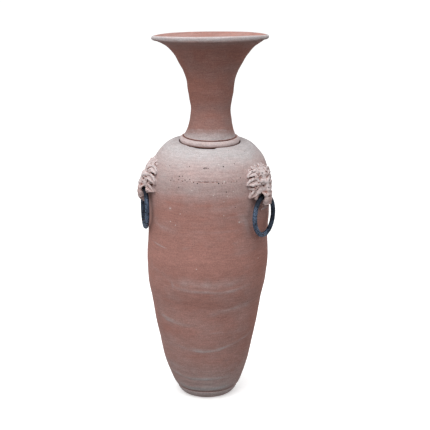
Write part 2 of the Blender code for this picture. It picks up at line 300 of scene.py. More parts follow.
def crack_depth(a, p):
    """The luted seam on the shoulder has opened, most of all just left of the middle."""
    deg = np.degrees((a + math.pi) % TAU - math.pi)
    main = smooth(-19.0, -15.5, deg) * (1 - smooth(10.0, 13.5, deg))
    wide = smooth(-38, -33, deg) * (1 - smooth(30, 35, deg))
    broken = np.clip(2.6 * field(p, (0.0052, 0.0052, 0.05), 61) - 0.1, 0, 1) * np.clip(0.9 + 1.2 * field(p, 0.018, 65), 0.1, 1)
    dashes = np.clip(field(p, (0.0065, 0.0065, 0.05), 64) * 2.2 - 0.55, 0, 1)
    rest = 0.55 * dashes * np.clip(field(p, 0.06, 62) * 1.8 - 0.2, 0, 1)
    return 0.0017 * (main * (0.04 + 0.90 * broken) + wide * 0.75 * dashes * (1 - main) + rest * (1 - wide))


# ---------------------------------------------------------------- mesh builders
def mesh_object(name, verts, faces, uv=None, **weights):
    """faces is an (m, 4) array; a triangle repeats its last corner."""
    faces = np.asarray(faces, np.int64)
    tri = faces[:, 2] == faces[:, 3]
    order = np.concatenate([np.nonzero(~tri)[0], np.nonzero(tri)[0]])
    quads, tris = faces[~tri], faces[tri][:, :3]
    loops = np.concatenate([quads.ravel(), tris.ravel()]).astype(np.int32)
    totals = np.concatenate([np.full(len(quads), 4), np.full(len(tris), 3)]).astype(np.int32)
    starts = np.concatenate([[0], np.cumsum(totals)[:-1]]).astype(np.int32)
    me = bpy.data.meshes.new(name)
    me.vertices.add(len(verts))
    me.vertices.foreach_set("co", np.asarray(verts, np.float32).ravel())
    me.loops.add(len(loops))
    me.loops.foreach_set("vertex_index", loops)
    me.polygons.add(len(totals))
    me.polygons.foreach_set("loop_start", starts)
    if uv is not None:
        layer = me.uv_layers.new(name="OFBake")
        u = uv[order]
        flat = np.concatenate([u[:len(quads)].reshape(-1, 2), u[len(quads):, :3].reshape(-1, 2)])
        layer.data.foreach_set("uv", flat.astype(np.float32).ravel())
    for key, values in weights.items():
        me.attributes.new(key, "FLOAT", "POINT").data.foreach_set("value", np.asarray(values, np.float32))
    me.update(calc_edges=True)
    me.validate(verbose=False)
    me.shade_smooth()
    obj = bpy.data.objects.new(name, me)
    bpy.context.scene.collection.objects.link(obj)
    return obj


def turned(name, line, cols, relief, paint, weight=None, closed=True, sharp=40.0):
    """A turned piece.  line is (n, 2): r, z, going down the outer side first.  relief gives how
    far each point stands proud, paint its pale value and its painted shade.  An open line ends on the axis."""
    line = np.asarray(line, float)
    n = len(line)
    if closed:
        before, after = np.roll(line, 1, axis=0), np.roll(line, -1, axis=0)
    else:
        before, after = np.vstack([line[:1], line[:-1]]), np.vstack([line[1:], line[-1:]])
    w = np.ones(n) if weight is None else np.asarray(weight, float)
    # where the worked surface meets a joint face, its way out is its own and not the corner's
    before = np.where(((w > 0) & (np.roll(w, 1) == 0))[:, None], line, before)
    after = np.where(((w > 0) & (np.roll(w, -1) == 0))[:, None], line, after)
    d = after - before
    length = np.maximum(np.hypot(d[:, 0], d[:, 1]), 1e-9)
    normal = np.stack([-d[:, 1] / length, d[:, 0] / length], axis=1)
    a = np.linspace(-math.pi, math.pi, cols, endpoint=False)
    A, R = np.meshgrid(a, line[:, 0], indexing="xy")
    _, Z = np.meshgrid(a, line[:, 1], indexing="xy")
    P = np.stack([R * np.sin(A), -R * np.cos(A), Z], axis=-1)
    lift = relief(A, Z, P, R) * w[:, None]
    R2 = R + lift * normal[:, 0][:, None]
    Z2 = Z + lift * normal[:, 1][:, None]
    axis_rows = line[:, 0] < 1e-6
    R2[axis_rows] = 0.0
    Q = hand_thrown(np.stack([R2 * np.sin(A), -R2 * np.cos(A), Z2], axis=-1))
    pale, dirt = paint(A, Z, P, R, lift)
    s = np.concatenate([[0.0], np.cumsum(np.hypot(*np.diff(line, axis=0).T))])
    total = s[-1] + (np.hypot(*(line[0] - line[-1])) if closed else 0.0)
    rows = n if closed else n - 1
    i, j = np.meshgrid(np.arange(rows), np.arange(cols), indexing="ij")
    i2, j2 = (i + 1) % n, (j + 1) % cols
    faces = np.stack([i * cols + j, i2 * cols + j, i2 * cols + j2, i * cols + j2], axis=-1).reshape(-1, 4)
    v0, v1 = s[i] / total, np.where(i + 1 < n, s[np.minimum(i + 1, n - 1)], total) / total
    u0, u1 = j / cols, (j + 1) / cols
    uv = np.stack([np.stack([u0, v0], -1), np.stack([u0, v1], -1), np.stack([u1, v1], -1),
                   np.stack([u1, v0], -1)], axis=2).reshape(-1, 4, 2)
    verts = Q.reshape(-1, 3)
    if axis_rows.any():                      # one point on the axis in place of a row of them
        keep = np.arange(len(verts))
        for row in np.nonzero(axis_rows)[0]:
            keep[row * cols:(row + 1) * cols] = row * cols
        faces = keep[faces]
        first = faces[:, 0] == faces[:, 3]   # the upper edge has shrunk to a point
        faces[first] = faces[first][:, [1, 2, 0, 0]]
        uv[first] = uv[first][:, [1, 2, 0, 0]]
        second = (faces[:, 1] == faces[:, 2]) & ~first
        faces[second] = faces[second][:, [0, 1, 3, 3]]
        uv[second] = uv[second][:, [0, 1, 3, 3]]
    used, back = np.unique(faces, return_inverse=True)
    faces = back.reshape(faces.shape)
    obj = mesh_object(name, verts[used], faces, uv, pale=pale.ravel()[used], dirt=dirt.ravel()[used])
    obj.data.set_sharp_from_angle(angle=math.radians(sharp))
    return obj


def round_corners(points, radius=0.0006):
    """Straight runs of a profile with their corners broken by two points each."""
    pts = [np.asarray(p, float) for p in points]
    out = [pts[0]]
    for a, b, c in zip(pts, pts[1:], pts[2:]):
        ab, bc = a - b, c - b
        cut = min(radius, 0.3 * np.hypot(*ab), 0.3 * np.hypot(*bc))
        out += [b + ab / np.hypot(*ab) * cut, b + (ab / np.hypot(*ab) + bc / np.hypot(*bc)) * cut * 0.18,
                b + bc / np.hypot(*bc) * cut]
    return np.array(out + [pts[-1]])


# ---------------------------------------------------------------- the wall's own relief
def throwing_rings(A, Z, P, seed, fine=0.00005, broad=0.00012, lumps=0.00034, pitch=0.0088):
    turn = A / TAU
    phase = Z + pitch * turn + 0.0016 * field(P, 0.045, seed)
    ridges = np.sin(TAU * phase / pitch)
    slow = np.sin(TAU * (Z + 0.034 * turn + 0.005 * field(P, 0.08, seed + 1)) / 0.034)
    gain = np.clip(0.55 + 0.75 * field(P, (0.12, 0.12, 0.05), seed + 2), 0.05, 1.3)
    return (fine * ridges * gain + broad * slow * (0.6 + 0.4 * field(P, 0.1, seed + 3))
            + lumps * field(P, (0.060, 0.060, 0.035), seed + 4)
            + 0.5 * lumps * field(P, (0.022, 0.022, 0.012), seed + 5)
            + 0.8 * lumps * field(P, (0.15, 0.15, 0.10), seed + 6))


def gap_in_front(A, P):
    """Where the dry joint round the collar stands open: 1 just left of the front's middle, and
    small open places beside it and behind."""
    deg = np.degrees((A + math.pi) % TAU - math.pi)
    spots = np.clip(field(P, (0.0075, 0.0075, 0.05), 34) * 3.0 - 0.7, 0, 1)
    some = (smooth(-50, -44, deg) * (1 - smooth(-32, -27, deg)) + smooth(22, 26, deg) * (1 - smooth(46, 54, deg))
            + 0.7 * smooth(100, 130, abs(deg)))
    return np.maximum(smooth(-46.0, -16.0, deg) * (1 - smooth(7.5, 14.0, deg)), spots * some)


def body_relief(A, Z, P, R):
    out = throwing_rings(A, Z, P, 21) - 0.00085
    out += 0.0010 * smooth(0.05, 0.12, Z) * (1 - smooth(0.33, 0.38, Z))
    deg = np.degrees((A + math.pi) % TAU - math.pi)
    out += 0.0018 * np.exp(-((deg + 92) / 12) ** 2 - ((Z - 0.572) / 0.024) ** 2)
    out += 0.0028 * np.exp(-((deg - 94) / 16) ** 2 - ((Z - 0.522) / 0.034) ** 2)
    out += laid_on(PALE_MARKS, A, Z, P)[1] + laid_on(RED_MARKS, A, Z, P)[1]
    # the belly overhangs the lower section a little where the two are luted
    some = 0.6 + 0.4 * field(P, 0.09, 32)
    out += some * (0.00024 * np.exp(-((Z - 0.3000) / 0.0080) ** 2) - 0.00026 * np.exp(-((Z - 0.2855) / 0.0090) ** 2))
    # ridges of the first section's foot
    foot = np.sin(TAU * (Z + 0.017 * A / TAU + 0.001 * field(P, 0.05, 31)) / 0.017)
    out += 0.00026 * foot * (1 - smooth(0.06, 0.11, Z)) * smooth(0.024, 0.032, Z) * (0.5 + 0.8 * field(P, 0.05, 33))
    out -= 0.0004 * np.exp(-((Z - 0.0240) / 0.0018) ** 2)
    # open seam on the shoulder
    seam = JOINT_HIGH_Z + 0.0006 * field(P, 0.03, 63)
    out -= crack_depth(A, P) * np.exp(-((Z - seam) / 0.0011) ** 2)
    # the crown beside the trough was wiped smooth
    calm = smooth(0.700, 0.716, Z)
    out = out * (1 - 0.6 * calm)
    # in front the clay has shrunk away from the collar
    sunk = 0.0023 * (1 - smooth(0.0940, 0.1060, R)) + 0.0022 * (1 - smooth(0.0828, 0.0862, R))
    out -= 0.0012 * (1 - smooth(0.100, 0.120, R)) * calm
    return out - sunk * gap_in_front(A, P) * calm


PALE_BY_HEIGHT = ((0.000, 0.62), (0.036, 0.54), (0.062, 0.36), (0.113, 0.20), (0.150, 0.18), (0.210, 0.08),
                  (0.260, 0.11), (0.300, 0.10), (0.345, 0.06), (0.400, 0.01), (0.480, 0.02), (0.537, 0.09), (0.572, 0.15), (0.588, 0.24),
                  (0.600, 0.42), (0.615, 0.50), (0.640, 0.51), (0.665, 0.57), (0.690, 0.73), (0.712, 0.96), (0.740, 1.00))


def body_paint(A, Z, P, R, lift):
    heights, values = zip(*PALE_BY_HEIGHT)
    wavy = Z + 0.008 * field(P, (0.10, 0.10, 0.03), 71) + 0.004 * field(P, (0.03, 0.03, 0.010), 72)
    pale = np.interp(wavy, heights, values)
    pale = pale + 0.06 * field(P, (0.10, 0.10, 0.030), 73) + 0.020 * field(P, (0.06, 0.06, 0.006), 74)
    pale = pale + 0.065 * field(P, 0.045, 75) + 0.045 * field(P, 0.018, 76)
    pale = pale + laid_on(PALE_MARKS, A, Z, P)[0] - laid_on(RED_MARKS, A, Z, P)[0]
    deg = np.degrees((A + math.pi) % TAU - math.pi)
    # painted light: a paler patch left of the right ring, where its shadow falls on the wall
    pale = pale + 0.22 * np.exp(-((deg - 40) / 10) ** 2 - ((Z - 0.527) / 0.05) ** 2)
    seam = JOINT_HIGH_Z + 0.0006 * field(P, 0.03, 63)
    # painted shade in the opened seam and in the groove at the foot
    dirt = np.clip(crack_depth(A, P) / 0.00125, 0, 1) * np.exp(-((Z - seam) / 0.00085) ** 4)
    groove = np.exp(-((Z - 0.0240) / 0.0022) ** 2)
    dirt = dirt + 0.10 * groove
    # painted shade: darker low on the right side of the belly
    dirt = dirt + 0.14 * smooth(40, 58, deg) * (1 - smooth(100, 130, deg)) * smooth(0.09, 0.16, Z) * (1 - smooth(0.41, 0.47, Z))
    # painted shade in the trough round the collar, deepest towards the collar and where the joint stands open
    trough = (R < 0.0905) & (Z > 0.70)
    open_here = gap_in_front(A, P)
    dirt = np.where(trough, np.maximum(dirt, (0.20 + 0.62 * smooth(0.0762, 0.0796, R) + 0.18 * open_here * smooth(0.070, 0.078, R)) * (1 - smooth(0.0820 + 0.0022 * open_here, 0.0846 + 0.0026 * open_here, R))), dirt)
    inside = (R < wall_radius(np.clip(Z, 0.0243, 0.7222)) - 0.006) & (Z < 0.7155)
    pale = np.where(inside, 0.10, pale)
    return np.clip(pale, 0, 1.1), np.clip(dirt, 0, 1)


def rows_between(s0, s1, spacing, finer=()):
    """Arc lengths of the rows, closer together near the places named in `finer`."""
    s = [s0]
    while s[-1] < s1:
        step = spacing
        for at, reach, close in finer:
            step = min(step, close + (spacing - close) * smooth(reach * 0.5, reach * 1.6, abs(s[-1] - at)))
        s.append(s[-1] + step)
    s = np.array(s)
    return s0 + (s - s0) * (s1 - s0) / (s[-1] - s0)


def vessel_section(name, low, high, rows):
    """One thrown section: outer wall, joint faces and a plainer inner wall."""
    r, z, nr, nz = wall_at(rows)
    r[0], z[0] = np.interp(rows[0], FINE_S, FINE[:, 0]), low
    z[-1] = high
    outer = np.stack([r, z], axis=1)
    coarse = np.linspace(rows[0], rows[-1], max(4, int((rows[-1] - rows[0]) / 0.010)))
    r, z, nr, nz = wall_at(coarse)
    inner = np.stack([r - WALL * nr, z - WALL * nz], axis=1)
    inner[0, 1], inner[-1, 1] = low, high
    inner = inner[np.concatenate([[True], (inner[1:-1, 1] > low + 0.003) & (inner[1:-1, 1] < high - 0.003), [True]])]
    line = np.vstack([outer[::-1], inner])
    weight = np.concatenate([np.ones(len(outer)), np.full(len(inner), 0.0)])
    return line, weight


COLS = 344
seam_low, seam_high = arc_of(JOINT_LOW_Z), arc_of(JOINT_HIGH_Z)
s_foot = 0.0
made = {}

line, weight = vessel_section("lower_section", FOOT_Z + 0.0003, JOINT_LOW_Z,
                              rows_between(s_foot, seam_low, 0.0022, ((seam_low, 0.012, 0.0012), (0.0, 0.006, 0.0010))))
made["lower_section"] = turned("lower_section_clay", line, COLS, body_relief, body_paint, weight)
line, weight = vessel_section("belly_section", JOINT_LOW_Z, JOINT_HIGH_Z,
                              rows_between(seam_low, seam_high, 0.0022, ((seam_low, 0.012, 0.0012), (seam_high, 0.006, 0.0005))))
made["belly_section"] = turned("belly_section_clay", line, COLS, body_relief, body_paint, weight)

rows = rows_between(seam_high, FINE_S[-1], 0.0022, ((seam_high, 0.006, 0.0005), (FINE_S[CROWN] + 0.012, 0.016, 0.0006)))
r, z, nr, nz = wall_at(rows)
z[0] = JOINT_HIGH_Z
dome = np.stack([r, z], axis=1)
# the dry clay stands close round the collar, with only a thin gap
near_collar = (dome[:, 0] < 0.0955) & (np.arange(len(dome)) > len(dome) * 0.4)
groove = SEAT_Z - 0.0027 * smooth(0.0640, 0.0665, dome[near_collar, 0])
dome[near_collar, 1] = groove + (0.7222 - groove) * smooth(0.0804, 0.0828, dome[near_collar, 0])
keep = dome[:, 0] > MOUTH_R + 0.0008
coarse = np.linspace(seam_high, FINE_S[-1], 24)
r, z, nr, nz = wall_at(coarse)
liner = np.stack([r - WALL * nr, z - WALL * nz], axis=1)
liner[0, 1] = JOINT_HIGH_Z
liner = liner[(liner[:, 0] > MOUTH_R + 0.006) & (liner[:, 1] < SEAT_Z - WALL + 0.006)]
line = np.vstack([[(MOUTH_R, SEAT_Z - 0.0010), (MOUTH_R + 0.0008, SEAT_Z)], dome[keep][::-1], liner,
                  [(MOUTH_R, SEAT_Z - WALL)]])
weight = np.concatenate([[0, 0], (dome[keep][::-1][:, 0] > 0.0812) | (dome[keep][::-1][:, 1] < 0.70),
                         np.zeros(len(liner) + 1)]).astype(float)
made["shoulder_section"] = turned("shoulder_section_clay", line, COLS, body_relief, body_paint, weight)


# ---------------------------------------------------------------- base slab
def slab_relief(A, Z, P, R):
    return (0.0004 * field(P, 0.03, 81) + 0.0003 * np.sin(TAU * (Z + 0.006 * A / TAU) / 0.006) - 0.0005) * smooth(0.060, 0.075, R)


def slab_paint(A, Z, P, R, lift):
    pale = 0.68 + 0.14 * field(P, (0.05, 0.05, 0.006), 82)
    # painted shade along the bottom edge and on the top, under the body
    dirt = 0.22 * (1 - smooth(0.0005, 0.006, Z)) * smooth(0.058, 0.064, R) + 0.20 * smooth(0.0205, 0.0232, Z)
    return np.clip(pale, 0, 1), np.clip(dirt, 0, 1)


edge = curve_through([(0.0834, FOOT_Z - 0.0004), (0.0840, 0.0218), (0.0834, 0.0185), (0.0790, 0.0110),
                      (0.0725, 0.0040), (0.0668, 0.0007)], 0.0012)
made["base_slab"] = turned("base_slab_clay", np.vstack([[(0.0, FOOT_Z - 0.0003), (0.050, FOOT_Z - 0.0003), (0.080, FOOT_Z - 0.0003)],
                                                        edge, [(0.0640, 0.0), (0.040, 0.0), (0.0, 0.0)]]),
                           232, slab_relief, slab_paint, closed=False)

# ---------------------------------------------------------------- trumpet neck
lip = [(LIP_R + LIP_HALF * math.cos(math.radians(t)),
        LIP_Z + (LIP_HALF if t > 0 else LIP_DROP) * math.sin(math.radians(t)))
       for t in range(-100, 101, 20)]
swept = curve_through(NECK_OUT + lip + NECK_IN, 0.0020)
below = round_corners([NECK_IN[-1], (SPIGOT_BORE_R + 0.0004, 0.7215), (SPIGOT_BORE_R, 0.7170),
                       (SPIGOT_BORE_R, SPIGOT_END_Z), (SPIGOT_R, SPIGOT_END_Z), (SPIGOT_R, NECK_SEAT_Z),
                       (NECK_FOOT_R, NECK_SEAT_Z), (NECK_FOOT_R, FLANGE_Z), (0.0708, FLANGE_Z), NECK_OUT[0]], 0.0009)
neck_line = np.vstack([swept, below[1:-1]])[::-1]        # reversed, so that it runs down the outer side
under = (neck_line[:, 1] < 0.7362)


def neck_relief(A, Z, P, R):
    out = throwing_rings(A, Z, P, 121, fine=0.00010, broad=0.00022, lumps=0.00022, pitch=0.0071) - 0.00045
    out = out * (1 - 0.75 * smooth(0.985, 0.995, Z) * smooth(0.140, 0.147, R))
    out += 0.00035 * field(P, (0.035, 0.035, 0.02), 127) * smooth(0.140, 0.147, R) - 0.0003 * smooth(0.140, 0.147, R)
    # the lip is fullest in front, and thinner at the sides
    front, behind = smooth(0.0, 0.9, np.cos(A)), smooth(0.1, 0.9, -np.cos(A))
    out += (0.0028 * front + 0.0024 * behind) * smooth(1.0005, 1.0052, Z) * smooth(0.140, 0.148, R)
    out += 0.0016 * front * (1 - smooth(0.9940, 0.9975, Z)) * smooth(0.144, 0.151, R)
    # a thin ridge where the flange starts, and small chips along the flange's edge
    outer = R > 0.052
    wave = 0.7478 + 0.0149 * np.maximum(np.cos(A), 0) + 0.0008 * field(P, 0.03, 128)
    out += outer * 0.00045 * np.exp(-((Z - wave) / 0.0014) ** 2)
    chips = np.clip(field(P, (0.006, 0.006, 0.02), 129) - 0.45, 0, 1) * smooth(-0.1, 0.3, np.sin(A - 0.2) * np.cos(A))
    out -= outer * 0.0035 * chips * np.exp(-((Z - 0.7368) / 0.0022) ** 2)
    return out


NECK_PALE = ((0.70, 0.70), (0.7360, 0.90), (0.7430, 0.82), (0.7455, 0.77), (0.7483, 0.72), (0.7510, 0.68), (0.7537, 0.60),
             (0.7564, 0.45), (0.7592, 0.36), (0.7636, 0.31), (0.7654, 0.15), (0.7750, 0.13), (0.8100, 0.09), (0.8600, 0.02),
             (0.9000, 0.08), (0.9400, 0.06), (0.9700, 0.05), (0.9830, 0.14), (0.9880, 0.26))
LIP_PALE = ((0.9930, 0.30), (0.9955, 0.40), (0.9975, 0.62), (0.9995, 0.86), (1.0015, 1.04), (1.0035, 1.06), (1.0052, 0.92),
            (1.0060, 0.86))


def neck_paint(A, Z, P, R, lift):
    heights, values = zip(*NECK_PALE)
    turned_away = 0.0149 * (1 - np.maximum(np.cos(A), 0)) * (1 - smooth(0.775, 0.800, Z))
    pale = np.interp(Z + turned_away + 0.0012 * field(P, (0.05, 0.05, 0.02), 131), heights, values)
    # painted light: the right side of the neck a little paler, the left a little darker
    pale = pale + 0.04 * np.sin(A) * (1 - smooth(0.90, 0.94, Z)) * smooth(0.755, 0.770, Z)
    pale = pale + 0.05 * field(P, (0.06, 0.06, 0.020), 132) + 0.02 * field(P, (0.04, 0.04, 0.004), 133) + 0.05 * field(P, 0.03, 137)
    wave = 0.7478 + 0.0149 * np.maximum(np.cos(A), 0) + 0.0008 * field(P, 0.03, 128)
    # painted highlight: pale dashes along the top of the thin ridge above the flange
    dashes = np.clip(field(P, (0.008, 0.008, 0.05), 139) * 2.2 + 0.1, 0, 1)
    pale = pale + 0.26 * dashes * np.exp(-((Z - wave - 0.0016) / 0.0012) ** 2)
    on_lip = smooth(0.1425, 0.1480, R + 0.0010 * field(P, 0.012, 134))
    lip_z, lip_pale = zip(*LIP_PALE)
    pale = pale * (1 - on_lip) + on_lip * (np.interp(Z + 0.0006 * field(P, 0.012, 140), lip_z, lip_pale) + 0.10 * field(P, 0.02, 135))
    bowl = (Z > 0.90) & (R < wall_neck(Z) - 0.004) | (Z > LIP_Z)
    worn = smooth(0.1472, 0.1512, R + 0.0014 * field(P, 0.012, 138))
    pale = np.where(bowl, 0.12 + 0.80 * worn + 0.08 * field(P, (0.03, 0.03, 0.01), 136), pale)
    inner = (R < wall_neck(Z) - 0.004) & (Z <= 0.90)
    pale = np.where(inner, 0.12, pale)
    # painted shade: a dark line in the joint just above the flange, the hidden faces below it, and deep in the bore
    spots = np.clip(field(P, (0.006, 0.006, 0.05), 145) * 2.2 - 0.4, 0, 1)
    dirt = (0.42 + 0.58 * spots) * np.exp(-((Z - FLANGE_Z - 0.0004) / 0.0013) ** 2) * (R > 0.060)
    dirt = dirt + 0.16 * (Z < 0.7350) + 0.30 * inner * (1 - smooth(0.82, 0.90, Z))
    return np.clip(pale, 0, 1.1), np.clip(dirt, 0, 1)


NECK_FINE = curve_through(NECK_OUT, 0.001)


def wall_neck(z):
    return np.interp(z, NECK_FINE[:, 1], NECK_FINE[:, 0])


made["trumpet_neck"] = turned("trumpet_neck_clay", neck_line, 288, neck_relief, neck_paint,
                              np.where(under, 0.15, 1.0))


# ---------------------------------------------------------------- collar ring
def collar_relief(A, Z, P, R):
    out = 0.00045 * field(P, 0.030, 141) + 0.00022 * field(P, 0.009, 142) - 0.00050
    dent = np.clip(field(P, (0.010, 0.010, 0.006), 143) - 0.5, 0, 1)
    return out - 0.0022 * dent


def collar_paint(A, Z, P, R, lift):
    pale = 0.86 + 0.14 * field(P, (0.02, 0.02, 0.006), 144) - 0.26 * (1 - smooth(0.7200, 0.7262, Z))
    # painted shade: the underside where the collar sits on the shoulder, and the inner top edge under the flange
    spots = np.clip(field(P, (0.006, 0.006, 0.05), 145) * 2.2 - 0.4, 0, 1)
    dirt = 0.60 * (1 - smooth(0.7178, 0.7208, Z)) * (R > 0.070) + 0.20 * (1 - smooth(0.7200, 0.7245, Z)) * (R > 0.070)
    dirt = dirt + (0.42 + 0.58 * spots) * smooth(0.7322, 0.7340, Z) * (1 - smooth(0.0722, 0.0752, R))
    return np.clip(pale, 0, 1.1), np.clip(dirt, 0, 1)


ring_line = np.array([(COLLAR_R + COLLAR_HALF * math.cos(t), COLLAR_Z - (COLLAR_HALF + 0.0026 * (math.sin(t) > 0)) * math.sin(t))
                      for t in np.linspace(0, TAU, 32, endpoint=False)])
made["collar_ring"] = turned("collar_ring_clay", ring_line, 240, collar_relief, collar_paint)


# ---------------------------------------------------------------- lion masks
GRID = 0.86                                    # mm between the points of the clay block


def smin(a, b, k):
    h = np.maximum(k - abs(a - b), 0.0) / k
    return np.minimum(a, b) - h * h * k * 0.25


def smax(a, b, k):
    return -smin(-a, -b, k)


def spline(points, count):
    return curve_through(points, max(1e-6, sum(map(math.dist, points, points[1:])) / count))


def leaf(F, u, v, spine, half, base, crown, tilt, creases=3, depth=0.9, k=0.8):
    """A lock of mane on the relief F: it follows its spine, narrows to a tip, is creased along its
    length, and tilts so that its lower edge stands proud of the lock below."""
    pts = spline(spine, 22)
    n = len(pts) - 1
    best = np.full(u.shape, 1e9)
    run = np.zeros_like(u)
    side = np.zeros_like(u)
    for i in range(n):
        a, e = pts[i], pts[i + 1] - pts[i]
        q = np.clip(((u - a[0]) * e[0] + (v - a[1]) * e[1]) / (e @ e), 0, 1)
        du, dv = u - a[0] - q * e[0], v - a[1] - q * e[1]
        d2 = du * du + dv * dv
        hit = d2 < best
        best = np.where(hit, d2, best)
        run = np.where(hit, (i + q) / n, run)
        side = np.where(hit, np.sign(e[0] * dv - e[1] * du) * np.sqrt(d2), side)
    at = np.concatenate([[0.0], np.cumsum([math.dist(a, b) for a, b in zip(spine, spine[1:])])])
    at /= at[-1]
    w = np.interp(run, at, half)
    s = side / w
    floor = np.interp(run, at, base)
    inside = np.clip(1 - s * s, 0, 1)
    wave = depth * (np.cos(math.pi * (creases * (s + 0.15) + 0.5)) ** 2) * smooth(0.02, 0.25, run) * smooth(0.0, 0.25, inside)
    H = floor + tilt * s + crown * np.sqrt(inside) - wave
    H = np.where(abs(s) < 1, H, floor + tilt * np.sign(s) - 5.0 * (abs(s) - 1) * w)
    return smax(F, H, k)


def dome(F, u, v, cu, cv, au, av, base, rise, turn=0.0, k=1.5):
    c, s = math.cos(math.radians(turn)), math.sin(math.radians(turn))
    x, y = (u - cu) * c + (v - cv) * s, -(u - cu) * s + (v - cv) * c
    q = np.sqrt((x / au) ** 2 + (y / av) ** 2)
    H = np.where(q < 1, base + rise * np.sqrt(np.clip(1 - q * q, 0, 1)), base - 3.0 * (q - 1) * min(au, av))
    return smax(F, H, k)


def egg(P, centre, half):
    q = [(P[i] - centre[i]) / half[i] for i in range(3)]
    k0 = np.sqrt(q[0] ** 2 + q[1] ** 2 + q[2] ** 2)
    k1 = np.sqrt((q[0] / half[0]) ** 2 + (q[1] / half[1]) ** 2 + (q[2] / half[2]) ** 2)
    return k0 * (k0 - 1.0) / np.maximum(k1, 1e-6)


def rope(P, points, radii):
    """A roll of clay through the points, its thickness changing along it."""
    out = None
    for (a, b), (ra, rb) in zip(zip(points, points[1:]), zip(radii, radii[1:])):
        a, b = np.array(a, float), np.array(b, float)
        e = b - a
        q = np.clip(((P[0] - a[0]) * e[0] + (P[1] - a[1]) * e[1] + (P[2] - a[2]) * e[2]) / (e @ e), 0, 1)
        d = np.sqrt((P[0] - a[0] - q * e[0]) ** 2 + (P[1] - a[1] - q * e[1]) ** 2
                    + (P[2] - a[2] - q * e[2]) ** 2) - (ra + (rb - ra) * q)
        out = d if out is None else smin(out, d, 1.0)
    return out


def mirrored(points, s):
    return [(s * p[0], *p[1:]) for p in points]


def near(P, lo, hi):
    """Slices of the block that hold a small feature, so that only they are worked."""
    out = []
    for axis, (a, b) in enumerate(zip(lo, hi)):
        line = (P[0][:, 0, 0], P[1][0, :, 0], P[2][0, 0, :])[axis]
        i = int(np.searchsorted(line, a))
        j = int(np.searchsorted(line, b))
        out.append(slice(max(0, i), max(i + 1, j)))
    return tuple(out)


def add_to(D, P, shape, points, reach, k, carve=False):
    pts = np.array(points, float)
    box = near(P, pts.min(0) - reach, pts.max(0) + reach)
    sub = [p[box] for p in P]
    d = shape(sub)
    D[box] = smax(D[box], -d, k) if carve else smin(D[box], d, k)


def lock_strands(spine, half, base, tilt, s):
    """Three rolls of clay side by side that meet at the tip of a lock: the outer two make a raised
    edge round a hollow, and the lower one stands proud."""
    pts = np.array(spine, float)
    along = np.gradient(pts, axis=0)
    along /= np.hypot(along[:, 0], along[:, 1])[:, None]
    up = np.stack([-along[:, 1], along[:, 0]], axis=1) * s
    half, base = np.array(half), np.array(base)
    out = []
    for offset, size, drop in ((0.60, 0.40, tilt * 0.45), (-0.10, 0.34, 1.9), (-0.62, 0.40, -tilt * 0.45)):
        radius = np.clip(half * size, 1.5, 4.6)
        at = pts + up * (half * offset)[:, None]
        height = np.maximum(base + 0.8 - radius * 0.55 - drop * np.clip(half / 9.0, 0, 1), 0.6 if base[-1] > 1 else -1.6)
        out.append(([(a, b, w) for (a, b), w in zip(at, height)], radius))
    return out


# the locks of the mane beside the face, from the top down: the line that each follows (distance from
# the middle, height over the hole), its half width and its height on the way.  The two sides of a
# hand-pressed mask differ.
LOCKS_A = (
    ([(14, 60.5), (26, 65.0), (36, 66.2), (43, 64.2), (48.0, 60.8), (50.5, 57.6)],
     (9.5, 10.0, 9.4, 7.2, 3.8, 0.8), (8.5, 8.5, 8.0, 7.5, 5.5, 4.0), 3.6, 2.6),
    ([(15, 40), (27, 42.0), (36, 42.5), (44, 41.2), (50.5, 39.0), (55.5, 34.8)],
     (10.0, 11.0, 11.5, 11.5, 6.5, 0.8), (13.5, 12.5, 11.0, 9.5, 7.0, 4.5), 4.2, 3.4),
    ([(14, 18), (26, 19.5), (34.5, 15.5), (41, 9.4), (45.5, 4.2), (48.8, 0.0)],
     (9.0, 11.0, 11.0, 8.2, 4.4, 0.8), (14.0, 13.5, 13.0, 11.0, 8.0, 4.5), 4.0, 3.0),
)
LOCKS_B = (
    ([(14, 57), (27, 61.5), (39, 62.5), (49, 60.5), (56.0, 56.0), (58.8, 51.0)],
     (9.5, 10.0, 10.5, 9.4, 5.6, 1.0), (8.5, 8.5, 8.0, 7.5, 6.0, 4.5), 3.6, 2.6),
    ([(15, 37), (28, 38.5), (42, 38.5), (52, 36.0), (58.5, 29.5), (60.5, 21.5)],
     (10.0, 10.5, 11.0, 9.8, 5.6, 1.0), (13.5, 12.5, 11.0, 9.0, 7.0, 5.0), 4.2, 3.2),
    ([(14, 17), (27, 15.5), (37, 11.0), (46, 7.6), (53, 5.2), (58.5, 2.4)],
     (9.0, 12.6, 12.4, 9.0, 5.4, 0.9), (14.0, 14.0, 13.5, 11.0, 8.0, 4.5), 4.0, 3.0),
)


